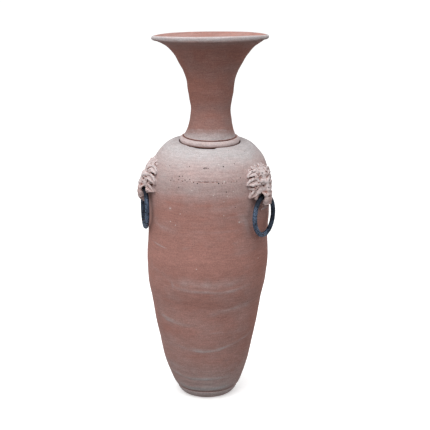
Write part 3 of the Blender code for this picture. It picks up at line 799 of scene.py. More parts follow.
def mask_block(seed, sides):
    """The lion's head as a solid in its own flat frame (mm): u across, v up from the hole, w out.
    sides: the locks at -u and at +u."""
    rng = np.random.default_rng(seed)
    U = np.arange(-68.0, 68.0, GRID)
    V = np.arange(-47.0, 100.0, GRID)
    W = np.arange(-4.2, 35.0, GRID)
    u, v = np.meshgrid(U, V, indexing="ij")
    F = np.full(u.shape, -14.0)

    def j(a=0.9):
        return float(rng.uniform(-a, a))

    # the pressed pad that carries everything
    for s in (-1, 1):
        F = dome(F, u, v, s * 19, 49, 27, 27, 2.0, 5.0, s * 20, 3.0)
        F = dome(F, u, v, s * 19, 20, 26, 22, 2.5, 5.5, 0, 3.0)
        F = dome(F, u, v, s * 12, 68, 19, 17, 0.6, 3.2, 0, 3.0)
    # crown tufts, fanned out in low relief and creased upwards
    tufts = ((25, 60, 37, 78), (-25, 60, -38, 79), (15, 62, 23, 88), (-15, 62, -24, 87), (5, 62, 7, 92), (-5, 62, -9, 91))
    crown_locks, side_locks = [], []
    for u0, v0, u1, v1 in tufts:
        bend = 1.6 if u1 > 0 else -1.6
        crown_locks.append(([(u0, v0), (u0 + (u1 - u0) * 0.35 + bend * 0.4, v0 + (v1 - v0) * 0.35 + j()),
                             (u0 + (u1 - u0) * 0.72 + bend, v0 + (v1 - v0) * 0.72 + j()),
                             (u1 + bend + j(), v1 + j(1.5))],
                            (7.0, 7.6, 6.0, 1.8), (8.4, 4.6, 1.8, -0.3), 0.4, 1 if u1 > 0 else -1))
    # three shingled locks a side, the lowest first so that each overlaps the one below
    for s, locks in zip((-1, 1), sides):
        for spine, half, base, crown, tilt in reversed(locks):
            line = [(s * (a + j(0.6)), b + j(0.6)) for a, b in spine]
            F = leaf(F, u, v, line, [0.60 * h for h in half], [0.72 * f - 0.6 for f in base], 1.4, -s * tilt * 0.3, 0, 0.0)
            side_locks.append((line, half, base, tilt, s))
        # small curls between the locks and the cheek, each wound round its own hollow
        for cu, cv, r, top in ((27, 54.0, 6.4, 14.5), (30.5, 29.0, 7.2, 17.0), (20, 64.0, 5.2, 12.5), (28.0, 7.0, 5.4, 15.0),
                               (24.0, 41.5, 4.8, 16.5), (37.5, 50.5, 4.6, 14.0), (40.5, 24.5, 4.6, 15.0), (12.0, 56.5, 5.2, 15.0)):
            cu, cv = s * cu + j(), cv + j()
            F = dome(F, u, v, cu, cv, r * 1.25, r, top - 5.0, 5.0, s * (25 + j(20)), 0.7)
            off, turn = np.hypot(u - cu, v - cv), np.arctan2(v - cv, s * (u - cu))
            spiral = off - r * (0.30 + 0.42 * ((turn + 2.2 + j(0.6)) % TAU) / TAU)
            F = F - 1.5 * np.exp(-(spiral / 0.95) ** 2) * smooth(r * 1.05, r * 0.85, off)
    # the clay surface is never quite even
    flat = np.stack([u / 1000, v / 1000, np.full_like(u, seed * 0.1)], axis=-1)
    F = F + 0.55 * field(flat, 0.0062, 151) + 0.22 * field(flat, 0.0030, 152)

    g = np.gradient(F, GRID)
    slope = np.sqrt(1 + np.clip(g[0] ** 2 + g[1] ** 2, 0, 14))
    P = np.meshgrid(U, V, W, indexing="ij")
    D = (P[2] - F[:, :, None]) / slope[:, :, None]

    def both(points, radii, k=1.6, carve=False):
        for s in (-1, 1):
            q = mirrored(points, s)
            add_to(D, P, lambda sub: rope(sub, q, radii), q, max(radii) + 4, k, carve)

    def middle(points, radii, k=1.6, carve=False):
        add_to(D, P, lambda sub: rope(sub, points, radii), points, max(radii) + 4, k, carve)

    def eggs(centre, half, k=2.5, carve=False, pair=True):
        for s in ((-1, 1) if pair else (1,)):
            c = (s * centre[0], centre[1], centre[2])
            add_to(D, P, lambda sub: egg(sub, c, half), [c], max(half) + 5, k, carve)

    for spine, half, base, tilt, s in crown_locks + side_locks:
        for strand, radii in lock_strands(spine, half, base, tilt, s):
            add_to(D, P, lambda sub: rope(sub, strand, radii), strand, 8, 0.9)
    eggs((0, 49, 1.0), (25, 20, 12.5), 3.0, pair=False)           # forehead
    eggs((0, 22, 7.5), (23, 27, 15), 3.0, pair=False)             # middle of the face
    eggs((23.5, 16, 8), (12.5, 13, 11.5), 3.0)                    # cheeks
    both([(4.8, 36.5, 18.6), (13, 40.8, 15.4), (25.0, 39.5, 10.0)], (4.7, 5.2, 3.8), 2.0)   # brows
    middle([(0, 48, 9.5), (0, 36, 17.0), (0, 26, 20.5), (0, 17, 23.4), (0, 9, 22.6)], (5.6, 6.0, 6.2, 6.8, 6.4), 2.4)
    both([(6, 3, 22.5), (17, 6.5, 19.0), (28, 11.5, 13.0)], (7.4, 6.2, 5.0), 2.4)           # upper lip, drawn back
    both([(27, 15, 9.0), (31, 7, 9.0), (33.5, 0.5, 10.5), (33.0, -3.0, 11.5)], (5.5, 5.4, 5.2, 3.6), 1.6)  # curl at the corner
    eggs((5.6, -8.0, 21.2), (9.2, 14.4, 10.0), 2.0)               # muzzle pads
    eggs((0, -6.0, 18.5), (9.0, 15, 11.5), 2.0, pair=False)
    eggs((0, 4.2, 27.2), (8.0, 5.4, 4.2), 1.2, pair=False)        # nose pad
    eggs((5.6, 2.8, 26.6), (3.6, 3.3, 3.5), 1.0)                  # wings of the nostrils
    eggs((0, -23.0, 17.0), (8.4, 8.2, 10.0), 1.8, pair=False)     # lower jaw
    both([(0, -15.4, 28.4), (5.6, -19.6, 27.4), (10.4, -20.0, 23.0), (12.8, -16.0, 18.0)], (2.2, 2.6, 2.4, 1.8), 1.3)
    tongue = [(0, -23, 20.5), (0, -28, 17.5), (0, -32, 13.5), (-1.0, -35.5, 9.5), (-2.5, -38.0, 6.0)]
    middle(tongue, (5.2, 4.2, 3.4, 2.7, 1.7), 1.6)
    # eyes: socket, ball, lids and a drilled pupil
    eggs((14.2, 29.4, 22.4), (8.4, 5.8, 8.4), 1.6, carve=True)
    eggs((14.0, 29.2, 11.9), (6.4, 5.2, 5.6), 0.7)
    both([(7.0, 29.4, 17.2), (10.8, 33.6, 18.6), (16.4, 34.4, 17.4), (22.4, 30.2, 13.4)], (1.3, 1.9, 1.9, 1.2), 0.9)
    both([(7.6, 27.4, 17.0), (13.2, 24.6, 17.2), (18.7, 25.6, 15.4), (22.4, 29.0, 13.0)], (1.1, 1.6, 1.5, 1.0), 0.9)
    eggs((13.2, 29.4, 17.7), (1.6, 1.6, 2.2), 0.4, carve=True)
    # folds: between the brows, beside the nose, under the nose, the mouth line, over the brow
    middle([(0, 60, 12.5), (0, 50, 15.2), (0, 42.0, 20.6)], (0.8, 1.7, 1.4), 1.0, True)
    both([(4.5, 57, 13.5), (7.5, 50.5, 15.0), (15.5, 48.5, 14.0)], (0.8, 1.3, 0.8), 1.0, True)
    both([(8.2, 21, 23.6), (9.6, 13, 26.0), (15.5, 8.6, 27.2), (24.0, 10.6, 21.4)], (0.8, 1.4, 1.4, 0.8), 1.0, True)
    middle([(0, -0.6, 31.0), (0, -7, 31.4), (0, -15.5, 30.8)], (0.7, 1.4, 1.5), 0.8, True)
    both([(0, -21.6, 27.6), (5.6, -23.6, 25.6), (10.6, -23.0, 20.0)], (1.3, 1.5, 1.2), 0.8, True)
    eggs((4.7, 2.0, 30.2), (1.9, 1.5, 2.2), 0.4, carve=True)      # nostrils
    middle([(0, -26, 24.0), (0, -31, 19.0), (-0.5, -34.5, 14.5)], (0.5, 0.8, 0.5), 0.7, True)
    both([(10, 57, 12.5), (16, 54, 13.5), (23.5, 48, 13.0)], (0.6, 1.1, 0.7), 0.9, True)
    for row, (v0, n) in enumerate(((-3.5, 3), (-8.5, 3), (-13.5, 2))):         # roots of the whiskers
        for i in range(n):
            x = 4.6 + 3.4 * i - 0.5 * row
            w = 21.2 + 10.0 * math.sqrt(max(0.05, 1 - ((x - 5.6) / 9.2) ** 2 - ((v0 + 8.0) / 14.4) ** 2))
            eggs((x, v0, w + 0.5), (0.8, 0.8, 1.5), 0.3, carve=True)
    # pits left by the tool where the locks meet, and undercuts below each lock
    for cu, cv, r in ((22.0, 57.0, 1.5), (35.5, 56.0, 1.4), (19.5, 36.5, 1.2), (36.5, 30.5, 1.7), (23.0, 12.0, 1.3),
                      (15.5, 71.0, 1.3), (5.5, 68.5, 1.2), (30.5, 75.0, 1.1), (45.0, 51.5, 1.2), (8.0, 79.0, 0.9),
                      (17.0, 47.5, 1.3), (31.5, 22.5, 1.3)):
        for s in (-1, 1):
            c, size = (s * cu + j(1.8), cv + j(1.8)), r * (1 + j(0.25))
            add_to(D, P, lambda sub: rope(sub, [(c[0], c[1], 3.0), (c[0] + j(), c[1] + j(), 22.0)], (size * 0.7, size)),
                   [(c[0], c[1], 3.0), (c[0], c[1], 22.0)], 4, 0.6, True)
    for s, locks in zip((-1, 1), sides):
        for spine, half, base, crown, tilt in locks:
            below = [(s * (a - 1.5), b - h - 0.2, f * 0.72 + 0.6) for (a, b), h, f in list(zip(spine, half, base))[2:]]
            add_to(D, P, lambda sub: rope(sub, below, (0.9, 1.5, 1.5, 0.9)), below, 6, 0.7, True)
    # closed at the back, a little inside the wall
    D = smax(D, -(P[2] + 1.8), 0.3)
    rim = np.maximum.reduce([abs(P[0]) - 66.0, P[1] - 98.0, -45.0 - P[1]])
    return U, V, W, np.maximum(D, rim)


def block_in_place(U, V, W, azimuth, hole_z):
    """Where each point of the flat block lies once it is pressed on the curved wall."""
    s = arc_of(hole_z) + V / 1000
    r, z, nr, nz = wall_at(s)
    ang = math.radians(azimuth) + (U[:, None] / 1000) / np.maximum(r, 0.12)[None, :]
    rad = r[None, :, None] + W[None, None, :] / 1000 * nr[None, :, None]
    hgt = np.broadcast_to(z[None, :, None] + W[None, None, :] / 1000 * nz[None, :, None],
                          (len(U), len(V), len(W)))
    ang = ang[:, :, None]
    return np.stack([rad * np.sin(ang), -rad * np.cos(ang), hgt + 0 * rad], axis=-1)


def surface_nets(D):
    """Vertices (grid units) and quads of the zero surface of D."""
    S = D < 0
    nx, ny, nz = (n - 1 for n in D.shape)
    corner = [(a, b, c) for a in (0, 1) for b in (0, 1) for c in (0, 1)]

    def view(arr, o):
        return arr[o[0]:o[0] + nx, o[1]:o[1] + ny, o[2]:o[2] + nz]

    count = sum(view(S, o).astype(np.int8) for o in corner)
    active = (count > 0) & (count < 8)
    index = np.full((nx, ny, nz), -1, np.int64)
    cells = np.argwhere(active)
    index[active] = np.arange(len(cells))
    total, hits = np.zeros((len(cells), 3)), np.zeros(len(cells))
    for o in corner:
        for axis in range(3):
            if o[axis]:
                continue
            o2 = tuple(o[i] + (i == axis) for i in range(3))
            a, b = view(D, o)[active], view(D, o2)[active]
            cross = (a < 0) != (b < 0)
            t = np.where(cross, a / np.where(a == b, 1, a - b), 0)
            at = np.array(o, float) + t[:, None] * (np.array(o2) - np.array(o))
            total += np.where(cross[:, None], at, 0)
            hits += cross
    verts = cells + total / hits[:, None]
    quads = []
    for axis in range(3):
        b, c = (axis + 1) % 3, (axis + 2) % 3
        lo, hi = [slice(None)] * 3, [slice(None)] * 3
        lo[axis], hi[axis] = slice(0, -1), slice(1, None)
        s0, s1 = S[tuple(lo)], S[tuple(hi)]
        where = np.argwhere(s0 != s1)
        ok = (where[:, b] > 0) & (where[:, c] > 0) & (where[:, b] < D.shape[b] - 1) & (where[:, c] < D.shape[c] - 1)
        where = where[ok]
        out = s0[tuple(where.T)]
        q = []
        for db, dc in ((-1, -1), (0, -1), (0, 0), (-1, 0)):
            w = where.copy()
            w[:, b] += db
            w[:, c] += dc
            q.append(index[tuple(w.T)])
        q = np.stack(q, axis=1)
        q[~out] = q[~out][:, ::-1]
        quads.append(q)
    return verts, np.concatenate(quads)


def largest_piece(count, quads):
    """Which vertices belong to the largest connected piece."""
    label = np.arange(count)
    edges = np.concatenate([quads[:, [0, 1]], quads[:, [1, 2]], quads[:, [2, 3]], quads[:, [3, 0]]])
    while True:
        low = np.minimum(label[edges[:, 0]], label[edges[:, 1]])
        new = label.copy()
        np.minimum.at(new, edges[:, 0], low)
        np.minimum.at(new, edges[:, 1], low)
        new = new[new]
        if (new == label).all():
            break
        label = new
    names, sizes = np.unique(label, return_counts=True)
    return label == names[np.argmax(sizes)]


def look_up(D, at):
    i = np.clip(np.round(at).astype(int), 0, np.array(D.shape) - 1)
    return D[i[:, 0], i[:, 1], i[:, 2]]


def ring_frame(azimuth, facing, hole_z):
    a, b = math.radians(azimuth), math.radians(facing)
    pivot = hand_thrown(np.array([PIVOT_R * math.sin(a), -PIVOT_R * math.cos(a), hole_z]))
    return pivot, np.array([math.sin(b), -math.cos(b), 0.0]), np.array([math.cos(b), math.sin(b), 0.0])


def lion_mask(name, seed, sides, azimuth, facing, hole_z):
    U, V, W, D = mask_block(seed, sides)
    X = block_in_place(U, V, W, azimuth, hole_z)
    pivot, out_dir, along = ring_frame(azimuth, facing, hole_z)
    rel = hand_thrown(X) - pivot
    s = rel @ along
    o, up = rel @ out_dir, rel[..., 2]
    # the ring's tube at every angle that it swings through, and a little over
    phi = np.arctan2(o, -up)
    lo, hi = math.radians(-5), math.radians(129)
    turn = np.clip(np.where(phi < -math.pi / 2, phi + TAU, phi), lo, hi)
    down, off = o * np.sin(turn) - up * np.cos(turn), o * np.cos(turn) + up * np.sin(turn)
    gap = np.hypot(np.hypot(s, down - RING_R) - RING_R, off) - (RING_ROD + 0.0009)
    D = smax(D, -gap * 1000, 0.5)
    verts, quads = surface_nets(D)
    keep = largest_piece(len(verts), quads)
    quads = quads[keep[quads[:, 0]]]
    # the block's own slope gives each point's way out, for the shade in its folds
    slope = [look_up(g, verts) for g in np.gradient(D)]
    n = np.stack(slope, axis=1)
    n /= np.maximum(np.linalg.norm(n, axis=1), 1e-9)[:, None]
    open_sky = sum(np.clip(look_up(D, verts + n * d / GRID) / d, 0, 1) for d in (1.8, 3.6, 6.5)) / 3
    tall = np.interp(verts[:, 2], np.arange(len(W)), W)
    flat = verts * (GRID / 1000)
    up_wall = np.interp(verts[:, 1], np.arange(len(V)), V)
    # painted shade: pale rises where the clay lies open and falls in folds; the darkening covers folds, hollows and
    # undersides near the wall, and less of the ring's hole
    pale = 0.30 + 0.52 * smooth(-12, 62, up_wall) + 0.42 * (open_sky - 0.70) / 0.30 + 0.18 * field(flat, 0.010, 161 + seed)
    dirt = 0.95 * (1 - smooth(0.24, 0.70, open_sky))
    under = smooth(0.25, 0.85, -n[:, 1]) * (1 - smooth(4.0, 10.0, tall)) * smooth(-8, 0, up_wall)
    dirt = np.maximum(dirt, 0.62 * under)
    hole = 1 - smooth(8.5, 11.5, np.hypot(tall - 11.3, up_wall))
    dirt = dirt * (1 - (0.75 if azimuth < 0 else 0.40) * hole)
    at = [np.interp(verts[:, i], np.arange(len(line)), line) for i, line in enumerate((U, V, W))]
    s = arc_of(hole_z) + at[1] / 1000
    r, z, nr, nz = wall_at(s)
    ang = math.radians(azimuth) + at[0] / 1000 / np.maximum(r, 0.12)
    rad, hgt = r + at[2] / 1000 * nr, z + at[2] / 1000 * nz
    co = hand_thrown(np.stack([rad * np.sin(ang), -rad * np.cos(ang), hgt], axis=1))
    co[:, 0] -= 0.0004 * math.sin(math.radians(azimuth))
    used, back = np.unique(quads, return_inverse=True)
    obj = mesh_object(name, co[used], back.reshape(quads.shape), None,
                      pale=np.clip(pale, 0, 1.1)[used], dirt=np.clip(dirt, 0, 1)[used])
    return obj


for seed, (side, azimuth, facing, hole_z) in enumerate(MASKS, start=1):
    made[f"lion_mask_{side}"] = lion_mask(f"lion_mask_{side}_clay", seed, (LOCKS_A, LOCKS_B), azimuth, facing, hole_z)


# ---------------------------------------------------------------- forged iron rings
def iron_ring(name, seed, azimuth, facing, hole_z):
    pivot, out_dir, along = ring_frame(azimuth, facing, hole_z)
    big, small = 224, 28
    t = np.linspace(0, TAU, big, endpoint=False)      # from the bottom of the ring
    q = np.linspace(0, TAU, small, endpoint=False)
    T, Q = np.meshgrid(t, q, indexing="ij")
    flat = np.stack([np.sin(T) * 0.05, np.cos(T) * 0.05, Q * 0.0065], axis=-1)
    # hammered flats: the rod is a little square in places, and nowhere thicker than its solid
    around = np.stack([np.sin(T) * 0.05, np.cos(T) * 0.05 + 0.01 * np.sin(Q), 0.007 * np.cos(Q)], axis=-1)
    rod = RING_ROD - 0.00012 + 0.00026 * field(around, 0.0065, 171 + seed) + 0.00012 * field(around, 0.0028, 172 + seed)
    rod = rod - 0.00022 * (0.5 - 0.5 * np.cos(4 * Q + 2.2 * np.sin(2 * T + seed)))
    weld = (T + math.pi + 0.25 * seed) % TAU - math.pi    # the two ends meet at the bottom
    rod = rod + 0.00025 * np.exp(-((weld - 0.10) / 0.05) ** 2) - 0.0009 * np.exp(-(weld / 0.022) ** 2) * (0.6 + 0.4 * np.cos(Q))
    rod = np.minimum(rod, RING_ROD)
    bent = RING_R + 0.0004 * np.sin(2 * T + seed) * np.abs(np.sin(T / 2 + math.pi / 2)) - 0.0002
    radial = bent + rod * np.cos(Q)
    side_off = rod * np.sin(Q)
    centre = pivot + np.array([0, 0, -RING_R])
    co = (centre + (radial * np.sin(T))[..., None] * along + (-radial * np.cos(T))[..., None] * np.array([0, 0, 1.0])
          + side_off[..., None] * out_dir)
    i, j = np.meshgrid(np.arange(big), np.arange(small), indexing="ij")
    i2, j2 = (i + 1) % big, (j + 1) % small
    faces = np.stack([i * small + j, i2 * small + j, i2 * small + j2, i * small + j2], -1).reshape(-1, 4)
    u0, u1, v0, v1 = i / big, (i + 1) / big, j / small, (j + 1) / small
    uv = np.stack([np.stack([u0, v0], -1), np.stack([u1, v0], -1), np.stack([u1, v1], -1),
                   np.stack([u0, v1], -1)], axis=2).reshape(-1, 4, 2)
    worn = np.clip(0.5 + 0.9 * (rod - RING_ROD + 0.0004) / 0.0004, 0, 1)
    rust = np.clip(np.exp(-(weld / 0.09) ** 2) + 0.8 * smooth(0.80, 0.97, abs(T - math.pi) / math.pi * -1 + 1), 0, 1)
    # blackened iron in the hole, with painted shade there and on the strand that is turned from the light
    deep = np.exp(-(abs(T - math.pi) / (0.98 if azimuth < 0 else 1.06)) ** 12)
    far = smooth(0.05, 0.60, np.sin(T) * (1 if azimuth > 0 else -1)) * (0.78 + 0.35 * field(around, 0.012, 173 + seed))
    soot = np.clip(np.maximum(np.maximum(deep, far), 0.24 if azimuth < 0 else 0.05), 0, 1)
    return mesh_object(name, co.reshape(-1, 3), faces, uv, worn=worn.ravel(), rust=rust.ravel(), soot=soot.ravel())


for seed, (side, azimuth, facing, hole_z) in enumerate(MASKS, start=1):
    made[f"iron_ring_{side}"] = iron_ring(f"iron_ring_{side}_forged", seed, azimuth, facing, hole_z)


# ---------------------------------------------------------------- materials
class Nodes:
    """Short ways to build a node tree."""

    def __init__(self, name):
        self.material = bpy.data.materials.new(name)
        self.material.use_nodes = True
        self.tree = self.material.node_tree
        self.shader = self.tree.nodes["Principled BSDF"]
        self.place = self.new("ShaderNodeTexCoord").outputs["Object"]

    def new(self, kind, **values):
        node = self.tree.nodes.new(kind)
        for key, value in values.items():
            setattr(node, key, value)
        return node

    def put(self, socket, value):
        if isinstance(value, bpy.types.NodeSocket):
            self.tree.links.new(value, socket)
        elif value is not None:
            socket.default_value = value

    def maths(self, kind, a, b=None, c=None, clamp=False):
        node = self.new("ShaderNodeMath", operation=kind, use_clamp=clamp)
        for socket, value in zip(node.inputs, (a, b, c)):
            self.put(socket, value)
        return node.outputs[0]

    def ramp(self, value, lo, hi, out_lo=0.0, out_hi=1.0):
        node = self.new("ShaderNodeMapRange", interpolation_type="SMOOTHSTEP")
        for socket, x in zip(node.inputs, (value, lo, hi, out_lo, out_hi)):
            self.put(socket, x)
        return node.outputs[0]

    def noise(self, scale, detail=4.0, rough=0.55, stretch=None):
        node = self.new("ShaderNodeTexNoise")
        node.inputs["Scale"].default_value = scale
        node.inputs["Detail"].default_value = detail
        node.inputs["Roughness"].default_value = rough
        at = self.place
        if stretch:
            mapping = self.new("ShaderNodeMapping")
            mapping.inputs["Scale"].default_value = stretch
            self.put(mapping.inputs["Vector"], at)
            at = mapping.outputs[0]
        self.put(node.inputs["Vector"], at)
        return node.outputs["Fac"]

    def mix(self, factor, a, b, blend="MIX"):
        node = self.new("ShaderNodeMix", data_type="RGBA", blend_type=blend)
        node.clamp_factor = True
        self.put(node.inputs[0], factor)
        self.put(node.inputs[6], a)
        self.put(node.inputs[7], b)
        return node.outputs[2]

    def painted(self, name):
        return self.new("ShaderNodeAttribute", attribute_name=name).outputs["Fac"]

    def dots(self, scale, share, lo, hi, seed=0.0):
        """Round specks in a random share of the cells: 1 inside a speck."""
        mapping = self.new("ShaderNodeMapping")
        mapping.inputs["Location"].default_value = (seed, seed * 0.7, seed * 1.3)
        self.put(mapping.inputs["Vector"], self.place)
        cells = self.new("ShaderNodeTexVoronoi", feature="F1")
        cells.inputs["Scale"].default_value = scale
        self.put(cells.inputs["Vector"], mapping.outputs[0])
        pick = self.new("ShaderNodeSeparateColor")
        self.put(pick.inputs[0], cells.outputs["Color"])
        chosen = self.maths("LESS_THAN", pick.outputs[0], share)
        size = self.ramp(pick.outputs[1], 0.0, 1.0, lo, hi)
        inside = self.maths("SUBTRACT", size, cells.outputs["Distance"])
        return self.maths("MULTIPLY", self.ramp(inside, 0.0, 0.05), chosen)

    def spots(self, places):
        """1 inside any of the given small balls: (x, y, z, radius in metres)."""
        out = None
        rough = self.maths("MULTIPLY", self.maths("SUBTRACT", self.noise(900, 3), 0.5), 0.0010)
        for x, y, z, radius in places:
            node = self.new("ShaderNodeVectorMath", operation="DISTANCE")
            self.put(node.inputs[0], self.place)
            node.inputs[1].default_value = (x, y, z)
            d = self.maths("SUBTRACT", node.outputs["Value"], radius)
            out = d if out is None else self.maths("MINIMUM", out, d)
        return self.ramp(self.maths("ADD", out, rough), 0.0005, -0.0003)


RED_CLAY = (0.514, 0.254, 0.215, 1)
BROWN_CLAY = (0.436, 0.220, 0.187, 1)
DEEP_CLAY = (0.382, 0.166, 0.129, 1)
CHALK = (0.582, 0.558, 0.566, 1)
# near black for the painted shade in pits
PIT_SHADE = (0.060, 0.040, 0.036, 1)


def clay(name, red, brown, chalk, chips=(), flecks=(), drilled=(), grain=1.0):
    n = Nodes(name)
    large = n.noise(9.0, 5.0, 0.6)
    bands = n.noise(5.0, 4.0, 0.6, (0.8, 0.8, 5.0))
    lines = n.noise(7.0, 3.0, 0.6, (0.5, 0.5, 55.0))
    mottle = n.noise(75.0, 5.0, 0.7)
    fine = n.noise(650.0, 3.0, 0.65)
    body = n.mix(n.ramp(n.maths("ADD", n.maths("MULTIPLY", large, 0.66), n.maths("MULTIPLY", bands, 0.34)), 0.30, 0.72),
                 brown, red)
    pale = n.painted("pale")
    wander = n.maths("ADD", n.maths("MULTIPLY", n.maths("SUBTRACT", mottle, 0.5), 0.62),
                     n.maths("MULTIPLY", n.maths("SUBTRACT", lines, 0.5), 0.20))
    wander = n.maths("ADD", wander, n.maths("MULTIPLY", n.maths("SUBTRACT", fine, 0.5), 0.42 * grain))
    # slip lies on the clay's high spots, so the grain matters most where it is neither thick nor absent
    amount = n.maths("ADD", pale, n.maths("MULTIPLY", wander, n.maths("ADD", n.maths("MULTIPLY", pale, 0.75), 0.20)), clamp=True)
    colour = n.mix(amount, body, chalk)
    # fine grain, pale grit, and painted shade in the pits
    colour = n.mix(n.ramp(fine, 0.34, 0.70, 0.0, 0.36 * grain), colour, (0.20, 0.105, 0.085, 1))
    grit = n.dots(420.0, 0.16, 0.08, 0.24, 3.1)
    colour = n.mix(n.maths("MULTIPLY", grit, 0.34), colour, (0.74, 0.68, 0.66, 1))
    small_pits = n.dots(190.0, 0.035, 0.10, 0.24, 7.7)
    big_pits = n.dots(62.0, 0.020, 0.04, 0.12, 1.9)
    holes = n.maths("MAXIMUM", n.maths("MULTIPLY", small_pits, 0.75), big_pits)
    if chips:
        holes = n.maths("MAXIMUM", holes, n.spots(chips))
    if flecks:
        colour = n.mix(n.maths("MULTIPLY", n.spots(flecks), 0.62), colour, (0.78, 0.74, 0.72, 1))
    colour = n.mix(n.maths("MULTIPLY", holes, 0.80), colour, PIT_SHADE)
    # painted shade: the painted amount darkens the clay through brown and dark brown to near black
    dirt = n.painted("dirt")
    shade_depth = n.maths("MULTIPLY", dirt, n.ramp(mottle, 0.25, 0.60, 0.80, 1.0), clamp=True)
    colour = n.mix(n.ramp(shade_depth, 0.0, 0.32, 0.0, 0.80), colour, (0.380, 0.165, 0.125, 1))
    colour = n.mix(n.ramp(shade_depth, 0.25, 0.62, 0.0, 0.88), colour, (0.150, 0.058, 0.042, 1))
    colour = n.mix(n.ramp(shade_depth, 0.58, 0.95, 0.0, 0.94), colour, (0.016, 0.012, 0.012, 1))
    # painted shade: near black in the deepest pits and drilled holes
    if drilled:
        colour = n.mix(n.maths("MULTIPLY", n.spots(drilled), 0.97), colour, (0.014, 0.010, 0.010, 1))
    # sandy body: lighter and darker grains a few millimetres apart
    sand = n.noise(300.0, 2.0, 0.6)
    drawn = n.noise(100.0, 3.0, 0.6, (0.40, 0.40, 3.2))      # the same grains drawn out by the potter's hand
    colour = n.mix(1.0, colour, n.ramp(sand, 0.30, 0.70, 0.90, 1.10), "MULTIPLY")
    colour = n.mix(1.0, colour, n.ramp(drawn, 0.30, 0.70, 0.91, 1.09), "MULTIPLY")
    n.put(n.shader.inputs["Base Color"], colour)
    n.shader.inputs["Roughness"].default_value = 0.92
    n.shader.inputs["Specular IOR Level"].default_value = 0.22
    # relief too small for the mesh: throwing lines, grain and the pits
    height = n.maths("ADD", n.maths("MULTIPLY", lines, 0.10), n.maths("MULTIPLY", mottle, 0.35))
    height = n.maths("ADD", height, n.maths("MULTIPLY", fine, 0.22 * grain))
    height = n.maths("SUBTRACT", height, n.maths("MULTIPLY", holes, 0.8))
    height = n.maths("ADD", height, n.maths("MULTIPLY", grit, 0.10))
    bump = n.new("ShaderNodeBump")
    bump.inputs["Strength"].default_value = 0.75
    bump.inputs["Distance"].default_value = 0.0011
    n.put(bump.inputs["Height"], height)
    n.put(n.shader.inputs["Normal"], bump.outputs[0])
    return n.material


def marks_at(pixels):
    out = []
    for px, py, radius in pixels:
        a, z = on_pot(px, py)
        r = float(wall_radius(z)) - 0.0007
        p = hand_thrown(np.array([r * math.sin(a), -r * math.cos(a), z]))
        out.append((*p, 1.18 * radius * PIXEL))
    return out


CHIPS = marks_at([
    (203.8, 168.4, 0.40), (205.0, 168.0, 0.50), (206.4, 168.1, 0.42), (208.2, 168.4, 0.36), (223.4, 166.4, 0.50),
    (234.5, 163.4, 0.42), (171.8, 178.0, 0.42), (179.2, 176.4, 0.48), (178.6, 179.8, 0.42), (185.0, 180.2, 0.40),
    (189.6, 179.6, 0.36), (197.4, 183.5, 0.46), (218.6, 183.5, 0.50), (240.6, 177.9, 0.36), (178.6, 187.4, 0.36),
    (226.6, 192.2, 0.36), (169.6, 165.6, 0.36), (189.4, 166.6, 0.38), (235.4, 207.6, 0.36), (182.4, 176.2, 0.34),
    (170.5, 180.6, 0.38), (173.8, 181.0, 0.32), (182.6, 181.6, 0.34), (187.0, 182.0, 0.32), (193.4, 182.6, 0.36),
    (222.4, 183.4, 0.36), (226.0, 183.0, 0.34), (231.4, 182.2, 0.34), (236.8, 181.2, 0.32)])
FLECKS = marks_at([
    (218.6, 164.5, 0.50), (191.8, 181.6, 0.50), (224.4, 181.6, 0.60), (201.4, 181.8, 0.42), (191.8, 190.5, 0.46), (233.5, 191.5, 0.44),
    (213.5, 195.4, 0.46), (227.5, 196.2, 0.42), (169.9, 208.4, 0.55), (170.3, 221.5, 0.50), (154.7, 217.3, 0.46),
    (175.4, 225.3, 0.46), (223.8, 215.6, 0.42), (239.3, 222.3, 0.55), (224.0, 201.7, 0.34), (196.4, 269.4, 0.46),
    (258.3, 258.0, 0.50), (190.6, 158.0, 0.36), (180.0, 214.0, 0.40)])



def specks_on(names, pixels):
    """Places on the masks that the view shows at the given pixels."""
    focal = LENS / SENSOR * SIDE
    c, s = math.cos(CAM_DOWN), math.sin(CAM_DOWN)
    co = []
    for name in names:
        me = made[name].data
        flat = np.empty(len(me.vertices) * 3, np.float32)
        me.vertices.foreach_get("co", flat)
        co.append(flat.reshape(-1, 3))
    rel = np.vstack(co).astype(float) - CAM_AT
    deep = rel[:, 1] * c - rel[:, 2] * s
    px = SIDE / 2 + focal * rel[:, 0] / deep
    py = SIDE / 2 - focal * (rel[:, 1] * s + rel[:, 2] * c) / deep
    out = []
    for x, y, radius in pixels:
        near = np.nonzero(np.hypot(px - x, py - y) < 0.7)[0]
        if len(near):
            k = near[int(np.argmin(deep[near]))]
            out.append((*(float(v) for v in rel[k] + CAM_AT), 1.35 * radius * PIXEL))
    return out


MASK_SPECKS = specks_on(("lion_mask_right", "lion_mask_left"), [
    (262.6, 172.4, 0.52), (269.7, 179.4, 0.55), (269.4, 187.3, 0.50), (271.4, 190.9, 0.50), (252.6, 171.4, 0.45),
    (265.6, 166.2, 0.40), (258.8, 178.0, 0.34), (256.4, 191.0, 0.36), (262.4, 184.6, 0.34), (266.8, 192.8, 0.34),
    (154.7, 165.3, 0.50), (157.4, 168.5, 0.40), (146.9, 179.6, 0.48), (141.9, 181.4, 0.44), (144.4, 185.3, 0.46),
    (147.2, 190.2, 0.46), (151.0, 166.8, 0.34), (149.4, 173.0, 0.34), (140.2, 184.8, 0.34)])
body_clay = clay("fired_clay", RED_CLAY, BROWN_CLAY, CHALK, CHIPS, FLECKS, drilled=CHIPS)
neck_clay = clay("neck_clay", DEEP_CLAY, (0.322, 0.158, 0.132, 1), (0.535, 0.505, 0.512, 1))
pale_clay = clay("slip_coated_clay", (0.520, 0.276, 0.234, 1), (0.450, 0.245, 0.210, 1), (0.690, 0.606, 0.604, 1), drilled=MASK_SPECKS)


